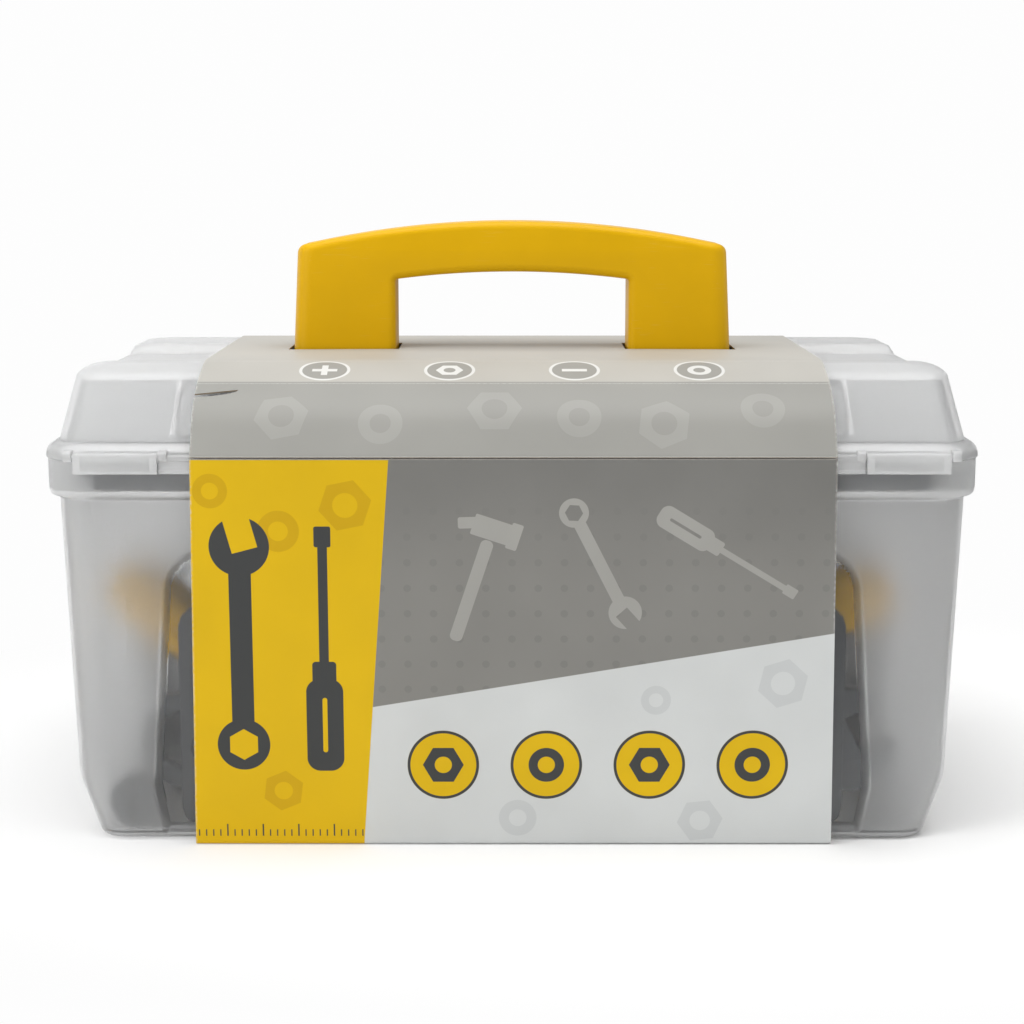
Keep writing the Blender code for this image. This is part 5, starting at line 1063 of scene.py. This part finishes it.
def card_band(name, path, columns, half_length, side, bow, windows=False, torn=False):
    """A sheet of card bent along a path of (y, z) that runs from the front crease to the back.

    columns are shares of its half length. Its UV map "print" holds metres: across, and along the path from the
    front crease, above zero over the lid and below zero round the case. bow moves the sheet outwards.
    """
    run = np.concatenate([[0], np.cumsum(np.linalg.norm(np.diff(path, axis=0), axis=1))])
    torn_row = int(np.argmin(abs(run - TEAR_RUN))) if torn else -1
    tear = TEAR_LENGTH / SLEEVE_HALF
    shape = bmesh.new()
    uv_of = {}

    def vertex(distance, share):
        y, z = np.interp(distance, run, path[:, 0]), np.interp(distance, run, path[:, 1])
        x = SLEEVE_SHIFT + share * half_length(z)
        dy, dz = bow(y, z, share)
        vert = shape.verts.new((x, y + dy, z + dz))
        uv_of[vert] = (x, side * distance)
        return vert

    below, above = [], []
    for row, distance in enumerate(run):
        under, over = [], []
        for share in columns:
            t = max(0.0, (-share - 1 + tear) / tear)
            if row <= torn_row and t > 0:
                down = (TEAR_DROP * t + TEAR_OPEN * math.sqrt(t) * (1 - 0.55 * t)) * distance / run[torn_row]
                under.append(vertex(distance - down, share))
                over.append(vertex(distance - TEAR_DROP * t, share) if row == torn_row else under[-1])
            else:
                under.append(vertex(distance, share))
                over.append(under[-1])
        below.append(under)
        above.append(over)
    layer = shape.loops.layers.uv.new("print")
    for row in range(len(run) - 1):
        y = (path[row][0] + path[row + 1][0]) / 2
        in_window = windows and abs(y) < FOOT_WINDOW_Y
        for i in range(len(columns) - 1):
            x = SLEEVE_SHIFT + (columns[i] + columns[i + 1]) / 2 * SLEEVE_HALF
            if in_window and FOOT_WINDOW_X[0] < abs(x) < FOOT_WINDOW_X[1]:
                continue
            face = shape.faces.new((above[row][i], above[row][i + 1], below[row + 1][i + 1], below[row + 1][i]))
            for loop in face.loops:
                loop[layer].uv = uv_of[loop.vert]
    if side < 0:
        bmesh.ops.reverse_faces(shape, faces=shape.faces)
    return into_mesh(shape, name)


def inked(t, distance):
    """A mask that is 1 where a distance is below zero, with a crisp printed edge."""
    return t.line(distance, -1.0 / INK_EDGE, 0.5)


def new_mark(name, sizes, draw):
    """A printed mark: a mask over the card, drawn about its own middle, then placed, turned and sized."""
    t, given, result = new_group(name, {"Place": None, "X": 0.0, "Y": 0.0, "Turn": 0.0, "Size": 1.0, **sizes},
                                 ("Mask",))
    moved = t.vector("SUBTRACT", given["Place"], t.point(given["X"], given["Y"]))
    turned = t.value("VectorRotate", {"rotation_type": "Z_AXIS", "invert": True}, Vector=moved, Angle=given["Turn"])
    t.join(draw(t, given, t.vector("SCALE", turned, Scale=1.0 / given["Size"])), result["Mask"])
    return t.tree


def mark(t, group, place, x=0.0, y=0.0, **values):
    return t.group(group, Place=place, X=x, Y=y, **values)["Mask"]


def bars(t, place, *rows):
    """The masks of bars, each given as x, y, turn, half length, half width and round."""
    return [mark(t, BAR, place, x, y, Turn=turn, Half_Length=half_length, Half_Width=half_width, Round=rounded)
            for x, y, turn, half_length, half_width, rounded in rows]


def draw_disc(t, sizes, place):
    far = t.length(place)
    return inked(t, t.most(far - sizes["Radius"], sizes["Hole"] - far))


def draw_hexagon(t, sizes, place):
    x, y, _ = t.parts(t.vector("ABSOLUTE", place))
    flat = t.most(y, t.line(x, 0.866, y * 0.5, clamp=False))
    return inked(t, t.most(flat - sizes["Radius"], sizes["Hole"] - t.length(place)))


def draw_bar(t, sizes, place):
    over = t.vector("SUBTRACT", t.vector("ABSOLUTE", place), t.point(sizes["Half Length"], sizes["Half Width"]))
    over = t.vector("ADD", over, t.point(sizes["Round"], sizes["Round"]))
    outside = t.length(t.vector("MAXIMUM", over, (0, 0, 0)))
    x, y, _ = t.parts(over)
    return inked(t, outside + t.maths("MINIMUM", t.most(x, y), 0.0) - sizes["Round"])


DISC = new_mark("disc mark", {"Radius": 0.005, "Hole": -1.0}, draw_disc)
HEXAGON = new_mark("hexagon mark", {"Radius": 0.005, "Hole": -1.0}, draw_hexagon)
BAR = new_mark("bar mark", {"Half Length": 0.01, "Half Width": 0.002, "Round": 0.0}, draw_bar)


def draw_spanner(t, _, place):
    """A spanner 80 mm long with an open end and a ring end."""
    shank, jaw = bars(t, place, (0.0, 0.0, 0.0, 0.032, 0.0036, 0.0), (0.0385, 0.0, 0.26, 0.0070, 0.0042, 0.0))
    ring_end = mark(t, DISC, place, -0.0325, Radius=0.0085)
    head = mark(t, DISC, place, 0.0330, Radius=0.0096) * (1.0 - jaw)
    eye = mark(t, HEXAGON, place, -0.0325, Radius=0.0045)
    return t.most(t.most(shank * (1.0 - jaw), ring_end) * (1.0 - eye), head)


def draw_screwdriver(t, _, place):
    """A screwdriver 84 mm long with a waisted handle and a flat tip."""
    grip, groove, neck, shaft, tip = bars(
        t, place, (-0.026, 0.0, 0.0, 0.0160, 0.0062, 0.0045), (-0.026, 0.0, 0.0, 0.0095, 0.0008, 0.0008),
        (-0.0080, 0.0, 0.0, 0.0040, 0.0040, 0.0012), (0.0170, 0.0, 0.0, 0.0230, 0.0016, 0.0),
        (0.0385, 0.0, 0.0, 0.0035, 0.0028, 0.0007))
    return t.most(grip * (1.0 - groove), neck, shaft, tip)


def draw_hammer(t, _, place):
    """A hammer 80 mm long with a round face and a wedge peen."""
    return t.most(*bars(
        t, place, (-0.010, 0.0, 0.0, 0.0300, 0.0036, 0.0030), (0.0265, 0.0, 0.0, 0.0060, 0.0110, 0.0008),
        (0.0265, -0.0130, 0.0, 0.0075, 0.0032, 0.0010), (0.0265, 0.0125, 0.35, 0.0032, 0.0070, 0.0012)))


SPANNER = new_mark("spanner mark", {}, draw_spanner)
SCREWDRIVER = new_mark("screwdriver mark", {}, draw_screwdriver)
HAMMER = new_mark("hammer mark", {}, draw_hammer)


def card_board_group():
    """The fibres of coated board as a height, its slow mottling, and where its ink has worn off."""
    t, given, result = new_group("card board", {"Place": None, "Fibre Size": 0.0005}, ("Height", "Mottle", "Specks"))
    stretched = t.value("Mapping", Vector=given["Place"], Scale=(0.35, 1.0, 1.0))
    t.join(t.noise(stretched, 1.0 / given["Fibre Size"], 3.0, 0.65), result["Height"])
    t.join(t.noise(given["Place"], 22.0, 2.0), result["Mottle"])
    t.join(t.noise(given["Place"], 900.0, 4.0, 0.75), result["Specks"])
    return t.tree


def nuts(t, place, *rows):
    """The mask of nuts and washers, each given as its mark, x, y, turn, radius and hole."""
    return t.most(*(mark(t, kind, place, x, y, Turn=turn, Radius=radius, Hole=hole)
                    for kind, x, y, turn, radius, hole in rows))


def workshop_print(t, place):
    """The colour of the print at each point of the card: plain fields, then the marks on them, with painted light on
    the flat top over the lid.
    """
    u, w, _ = t.parts(place)
    colour = t.mix(t.ranged(w, -0.050, -0.001, smooth=True), INK_GREY, INK_GREY_DEEP)
    # pegboard dots, tone on tone, on a 9 mm grid of the grey field
    cell = t.point(*(t.maths("WRAP", axis, 0.0045, -0.0045) for axis in (u, w)))
    colour = t.mix(mark(t, DISC, cell, Radius=0.0013) * 0.55, colour, INK_GREY_DEEP)
    # pale wedge
    wedge = inked(t, w - t.line(u, 0.165, -0.0795, clamp=False))
    back = inked(t, w + 0.150)
    fixings = nuts(t, place, (HEXAGON, 0.094, -0.0790, 0.3, 0.0078, 0.0042),
                   (DISC, 0.002, -0.1280, 0.0, 0.0066, 0.0031), (HEXAGON, 0.066, -0.1290, 0.1, 0.0070, 0.0036),
                   (DISC, 0.050, -0.0850, 0.0, 0.0052, 0.0025))
    colour = t.mix(wedge * (1.0 - back), colour, t.mix(fixings, INK_PALE, INK_PALE_DEEP))
    # tools hung on the grey field
    hung = t.most(mark(t, HAMMER, place, -0.012, -0.040, Turn=1.25, Size=0.62),
                  mark(t, SPANNER, place, 0.030, -0.036, Turn=-1.10, Size=0.60),
                  mark(t, SCREWDRIVER, place, 0.074, -0.033, Turn=-0.55, Size=0.66))
    colour = t.mix(hung, colour, INK_STONE_LIGHT)
    # round badges with small fixings on the wedge
    for x, fixing in ((-0.024, HEXAGON), (0.012, DISC), (0.048, HEXAGON), (0.084, DISC)):
        for kind, radius, hole, ink in ((DISC, 0.0125, -1.0, INK_YELLOW), (DISC, 0.0125, 0.0115, INK_DARK),
                                        (fixing, 0.0062, 0.0030, INK_DARK)):
            colour = t.mix(mark(t, kind, place, x, -0.1085, Radius=radius, Hole=hole), colour, ink)
    # yellow block with two large tools and a rule along its foot
    edge = t.line(w, 0.0727, -0.042, clamp=False)
    block = inked(t, u - edge) * (1.0 - back) * inked(t, w + 0.0003)
    fixings = nuts(t, place, (HEXAGON, -0.0570, -0.0160, 0.2, 0.0080, 0.0043),
                   (DISC, -0.0800, -0.0250, 0.0, 0.0072, 0.0034), (HEXAGON, -0.0800, -0.1180, 0.4, 0.0064, 0.0032),
                   (DISC, -0.1030, -0.0110, 0.0, 0.0060, 0.0029))
    colour = t.mix(block, colour, t.mix(fixings, INK_YELLOW, INK_YELLOW_DEEP))
    large = t.most(mark(t, SPANNER, place, -0.0935, -0.066, Turn=1.571, Size=1.08),
                   mark(t, SCREWDRIVER, place, -0.0650, -0.067, Turn=1.571, Size=1.04))
    colour = t.mix(large, colour, INK_DARK)
    rule = t.most(*(
        mark(t, BAR, t.point(t.maths("WRAP", u, pitch, -pitch), w + height), Half_Length=half, Half_Width=reach)
        for pitch, height, half, reach in ((0.00125, 0.1335, 0.00022, 0.0012), (0.00625, 0.1325, 0.00026, 0.0022))))
    colour = t.mix(rule * block, colour, INK_DARK)
    # lighter part over the lid, with nuts and washers tone on tone, its flat top painted lighter still as light falling
    # on it, and four round marks on its band
    fixings = nuts(t, place, (HEXAGON, -0.079, 0.0155, 0.2, 0.0082, 0.0044),
                   (HEXAGON, -0.006, 0.0185, 0.0, 0.0082, 0.0044), (HEXAGON, 0.052, 0.0125, 0.4, 0.0082, 0.0044),
                   (DISC, -0.045, 0.0125, 0.0, 0.0076, 0.0036), (DISC, 0.023, 0.0150, 0.0, 0.0076, 0.0036),
                   (DISC, 0.086, 0.0185, 0.0, 0.0076, 0.0036))
    stone = t.mix(fixings, INK_STONE, INK_STONE_LIGHT)
    # painted light: from the crease on, the flat top is lighter where it faces up
    stone = t.mix(inked(t, 0.0335 - w), stone, INK_TOP_PAINTED_LIGHT)
    y = 0.0435
    for x, icon in ((-0.066, ((0.0044, 0.0011), (0.0011, 0.0044))), (-0.022, HEXAGON), (0.022, ((0.0044, 0.0011),)),
                    (0.066, DISC)):
        for radius, ink in ((0.0090, INK_PAPER), (0.0079, INK_STONE)):
            stone = t.mix(mark(t, DISC, place, x, y, Radius=radius), stone, ink)
        if isinstance(icon, tuple):
            drawn = t.most(*bars(t, place, *((x, y, 0.0, *halves, 0.0) for halves in icon)))
        else:
            drawn = mark(t, icon, place, x, y, Radius=0.0042, Hole=0.0021)
        stone = t.mix(drawn, stone, INK_PAPER)
    return t.mix(inked(t, w * -1.0), colour, stone)


def card_tree(name):
    """A new material, its nodes, and the place of each point on the flat card in metres."""
    material = bpy.data.materials.new(name)
    t = new_tree(material)
    return material, t, t.value("UVMap", {"uv_map": "print"})


def sleeve_material():
    """The print, its cracked creases and worn edges, on coated board."""
    material, t, place = card_tree("printed card")
    fibre = t.group(CARD_FIBRE, Place=place)
    u, w, _ = t.parts(place)
    colour = t.vector("SCALE", workshop_print(t, place), Scale=t.ranged(fibre["Mottle"], *CLOUD_RANGE, 0.955, 1.045))
    cracks = t.most(*(t.line(t.maths("ABSOLUTE", w - run), -1.0 / CREASE_HALF, 1.0) for run in CREASE_RUNS))
    cracks = t.line(cracks * fibre["Specks"], 3.2, -0.75)
    colour = t.mix(cracks * 0.55, colour, INK_PAPER)
    side = t.line(t.maths("MINIMUM", w, 0.0), -SLEEVE_FLARE / SLEEVE_CREASE[1], SLEEVE_HALF - WORN_EDGE, clamp=False)
    rim = t.maths("ABSOLUTE", u - SLEEVE_SHIFT) - side
    scuff = t.maths("MULTIPLY", t.maths("MULTIPLY", rim, 1 / WORN_EDGE, clamp=True),
                    t.line(fibre["Specks"], 4.0, -1.7), clamp=True)
    colour = t.mix(scuff, colour, INK_PAPER)
    rough = t.add("Bump", Strength=0.10, Distance=0.00012, Height=fibre["Height"])
    t.finish(t.add("BsdfPrincipled", Base_Color=colour, Roughness=t.ranged(fibre["Mottle"], *CLOUD_RANGE, 0.42, 0.52),
                   Specular_IOR_Level=0.22, Normal=rough))
    return material


def board_material():
    """The raw board of the inside and the cut edges."""
    material, t, place = card_tree("raw board")
    fibre = t.group(CARD_FIBRE, Place=place, Fibre_Size=0.0009)
    colour = t.mix(t.line(fibre["Height"], 1.6, -0.3), BOARD_CORE, BOARD_CORE_LIGHT)
    rough = t.add("Bump", Strength=0.35, Distance=0.0002, Height=fibre["Height"])
    t.finish(t.add("BsdfPrincipled", Base_Color=colour, Roughness=0.9, Normal=rough))
    return material


CARD_FIBRE = card_board_group()
CARD_PRINT = sleeve_material()
CARD_BOARD = board_material()


def thick_card(mesh, body, node):
    """Gives a sheet of card its thickness, with raw board inside and on the cut edges, and makes it a piece."""
    for material in (CARD_PRINT, CARD_BOARD):
        mesh.materials.append(material)
    sheet = new_object(mesh.name, mesh)
    solid = sheet.modifiers.new("thickness", "SOLIDIFY")
    solid.thickness = CARD
    solid.offset = 1
    solid.use_even_offset = True
    solid.material_offset = 1
    solid.material_offset_rim = 1
    made = baked(sheet, mesh.name)
    finish = [face.material_index for face in made.polygons]
    put(made, CARD_PRINT, body, node, slot="card", angle=40, others=(CARD_BOARD,), finish=finish)


def make_sleeve():
    """The sleeve in two bands that part at the crease along the rim, so that the upper one can ride the lid."""
    base, (crease_y, crease_z) = SLEEVE_BASE_Y, SLEEVE_CREASE
    lower = rounded_path([(-crease_y, crease_z - CREASE_GAP), (-base, CARD), (base, CARD),
                          (crease_y, crease_z - CREASE_GAP)], SLEEVE_CORNER)
    over = [(crease_y, crease_z + CREASE_GAP), *SLEEVE_BENDS, (FOOT_WINDOW_Y, SLEEVE_BENDS[-1][1])]
    upper = rounded_path([(-y, z) for y, z in over] + over[::-1], SLEEVE_BEND_REACH)
    plain = np.linspace(-1, 1, 111)
    sides = [(side * x - SLEEVE_SHIFT) / SLEEVE_HALF for side in (-1, 1) for x in FOOT_WINDOW_X]
    ragged = np.linspace(-1, -1 + TEAR_LENGTH / SLEEVE_HALF, 19)
    columns = np.unique(np.round(np.concatenate([plain, sides, ragged]), 6))

    def wall_half(z):
        return SLEEVE_HALF + SLEEVE_FLARE * max(0, crease_z - z) / crease_z

    def wall_bow(y, z, s):
        out = math.copysign(SLEEVE_BOW, y) * (1 - s * s) * math.sin(math.pi * z / crease_z)
        return out if abs(y) > SLEEVE_WALL_Y else 0.0, 0.0

    def top_bow(y, _, s):
        return 0.0, SLEEVE_BOW * (1 - s * s) * max(0, 1 - (y / SLEEVE_TOP_HALF) ** 2)

    thick_card(card_band("sleeve_wrap", lower, plain, wall_half, -1, wall_bow), "case", "sleeve_lower")
    thick_card(card_band("sleeve_cover", upper, columns, lambda z: SLEEVE_HALF, 1, top_bow, windows=True, torn=True),
               "lid", "sleeve_upper")


make_sleeve()

# --- Pegboard ----------------------------------------------------------------------------------------------
# A dark grey moulded tray that lies face up on the ledge inside the rim, with cut corners, two notches on each
# long side and thirteen round holes for the bolts.

BOARD = (0.1594, 0.0929)
BOARD_Z = (0.1265, 0.1330)
BOARD_CUT = (0.0160, 0.0400)
BOARD_SKIN = 0.0022
BOARD_WALL = 0.0020
BOARD_EDGE = 0.0005
HOLE_RADIUS = 0.0062
HOLE_SIDES = 28
BOSS_WALL = 0.0018
BOARD_MERGE = 0.000005
HOLE_PITCH = (0.0500, 0.0220)
NOTCH_X = 0.0560
NOTCH = (0.0100, 0.0016)

GRAPHITE = plastic("dark grey plastic", (0.058, 0.065, 0.074), 0.46, bump=0.2, shade=0.07, scuffed=0.10)


def board_outline(inset):
    """A long octagon with a notch at each side of the middle of both long edges."""
    half_x, half_y = BOARD[0] - inset, BOARD[1] - inset
    half_notch = NOTCH[0] / 2 + inset
    quarter = [(half_x, half_y - BOARD_CUT[1]), (half_x - BOARD_CUT[0], half_y), (NOTCH_X + half_notch, half_y),
               (NOTCH_X + half_notch - NOTCH[1], half_y - NOTCH[1]),
               (NOTCH_X - half_notch + NOTCH[1], half_y - NOTCH[1]), (NOTCH_X - half_notch, half_y)]
    return mirrored(quarter) + [(-x, -y) for x, y in mirrored(quarter)]


def pegboard_tree():
    """Turns a guide, loops of outline and loose points for holes, into a tray with a boss round every hole."""
    tree = bpy.data.node_groups.new("pegboard", "GeometryNodeTree")
    tree.interface.new_socket("Geometry", in_out="INPUT", socket_type="NodeSocketGeometry")
    for name, value in (("Hole Radius", HOLE_RADIUS), ("Boss Wall", BOSS_WALL), ("Skin", BOARD_SKIN),
                        ("Thickness", BOARD_Z[1] - BOARD_Z[0])):
        tree.interface.new_socket(name, in_out="INPUT", socket_type="NodeSocketFloat").default_value = value
    tree.interface.new_socket("Finish", in_out="INPUT", socket_type="NodeSocketMaterial")
    tree.interface.new_socket("Geometry", in_out="OUTPUT", socket_type="NodeSocketGeometry")
    t = Nodes(tree)
    given = {socket.name: Value(t, socket) for socket in t.add("NodeGroupInput").outputs}

    def geometry(kind, settings=None, **inputs):
        return t.value(f"GeometryNode{kind}", settings, **inputs)

    def kept(loop):
        """The part of the guide with this loop number."""
        number = geometry("InputNamedAttribute", {"data_type": "INT"}, Name="loop")
        same = t.value("FunctionNodeCompare", {"data_type": "INT", "operation": "EQUAL"}, i2=number, i3=loop)
        return geometry("SeparateGeometry", {"domain": "POINT"}, Geometry=given["Geometry"], Selection=same)

    def rings(radius):
        """A circle of that radius at every hole."""
        circle = geometry("CurvePrimitiveCircle", Resolution=HOLE_SIDES, Radius=radius)
        return geometry("InstanceOnPoints", Points=kept(0), Instance=circle)

    def outline(loop):
        return geometry("MeshToCurve", Mesh=kept(loop))

    def joined_up(*parts):
        join = t.add("GeometryNodeJoinGeometry")
        for part in parts:
            t.join(part, join.inputs[0])
        return geometry("RealizeInstances", Geometry=join)

    def filled(*curves):
        """The flat face between curves, at zero height."""
        return geometry("FillCurve", Curve=joined_up(*curves))

    def pushed(faces, deep):
        """Faces pushed down with walls behind them, and the selection of the pushed ones."""
        push = t.add("GeometryNodeExtrudeMesh", {"mode": "FACES"}, Mesh=faces, Offset=t.point(z=deep * -1.0),
                     Offset_Scale=1.0, Individual=False)
        return push.outputs[0], push.outputs[1]

    def lowered(faces, deep):
        return geometry("Transform", Geometry=faces, Translation=t.point(z=deep * -1.0))

    holes = rings(given["Hole Radius"])
    bosses = rings(given["Hole Radius"] + given["Boss Wall"])
    top = filled(outline(1), holes)
    sides, pushed_faces = pushed(top, given["Thickness"])
    walls = geometry("DeleteGeometry", {"domain": "FACE"}, Geometry=sides, Selection=pushed_faces)
    feet = lowered(joined_up(filled(outline(1), outline(2)), filled(holes, bosses)), given["Thickness"])
    under, _ = pushed(filled(outline(2), bosses), given["Skin"] - given["Thickness"])
    whole = joined_up(top, walls, feet, lowered(under, given["Thickness"]))
    whole = geometry("MergeByDistance", Geometry=whole, Distance=BOARD_MERGE)
    whole = geometry("SetMaterial", Geometry=whole, Material=given["Finish"])
    t.join(whole, t.add("NodeGroupOutput").inputs[0])
    return tree


def level_normals(mesh, angle):
    """Corner normals weighted by area, so that a wide flat face shades flat up to its rounded edge."""
    faces = mesh.polygons
    limit = math.cos(math.radians(angle))
    round_vertex = [[] for _ in mesh.vertices]
    for face in faces:
        for vertex in face.vertices:
            round_vertex[vertex].append(face.index)
    normals = []
    for face in faces:
        for vertex in face.vertices:
            near = [faces[n] for n in round_vertex[vertex] if faces[n].normal.dot(face.normal) > limit]
            normals.append(sum((each.normal * each.area for each in near), Vector()).normalized())
    mesh.normals_split_custom_set(normals)


def make_pegboard():
    """Lays out the guide, turns it into the tray and rounds its edges."""
    guide = bmesh.new()
    number = guide.verts.layers.int.new("loop")
    for loop, inset in ((1, 0.0), (2, BOARD_WALL)):
        verts = [guide.verts.new((x, y, 0)) for x, y in board_outline(inset)]
        for vert in verts:
            vert[number] = loop
        for first, second in zip(verts, verts[1:] + verts[:1]):
            guide.edges.new((first, second))
    for column in range(-2, 3):
        for row in range(-2, 3):
            if (row % 2 == 1) == (abs(column) == 2):
                guide.verts.new((column * HOLE_PITCH[0], row * HOLE_PITCH[1], 0))
    holder = new_object("board_guide", into_mesh(guide, "board_guide"))
    tree = pegboard_tree()
    modifier = holder.modifiers.new("pegboard", "NODES")
    modifier.node_group = tree
    finish = next(item for item in tree.interface.items_tree if item.name == "Finish")
    modifier[finish.identifier] = GRAPHITE
    mesh = baked(holder, "pegboard")
    shape = from_mesh(mesh)
    bmesh.ops.translate(shape, vec=(0, 0, BOARD_Z[1]), verts=shape.verts)
    bmesh.ops.recalc_face_normals(shape, faces=shape.faces)
    bmesh.ops.dissolve_limit(shape, angle_limit=FLAT_ANGLE, verts=shape.verts, edges=shape.edges)
    bevel_edges(shape, BOARD_EDGE, 2, 50)
    into_mesh(shape, mesh)
    put(mesh, GRAPHITE, "case", "perforated_board", slot="graphite")
    level_normals(mesh, 40)


make_pegboard()

# --- Toy tools ---------------------------------------------------------------------------------------------
# Solid mouldings of yellow and dark grey plastic and one steel rivet, thrown loose into the case, with every
# edge rounded.

for material, slot, nodes in (
    (YELLOW, "yellow", ("hammer_handle", "screwdriver_flat_handle", "screwdriver_cross_handle", "saw_handle",
                        "strip_1", "strip_2", "bracket_1", "bracket_2")),
    (GRAPHITE, "graphite", ("hammer_head", "screwdriver_flat_shaft", "screwdriver_cross_shaft", "ring_spanner",
                            "open_spanner", "pliers_fixed_half", "pliers_moving_half", "saw_blade",
                            *(f"bolt_{n}" for n in range(1, 7)), *(f"nut_{n}" for n in range(1, 5)),
                            "peg_1", "peg_2", "plank_1", "plank_2", "stand_left", "stand_right")),
    (STEEL, "steel", ("pliers_rivet",)),
):
    for node in nodes:
        put(refined(node, f"toy_{node}", SOFT_EDGE, 1), material, frame["nodes"][node]["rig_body"], node, slot=slot,
            angle=40)
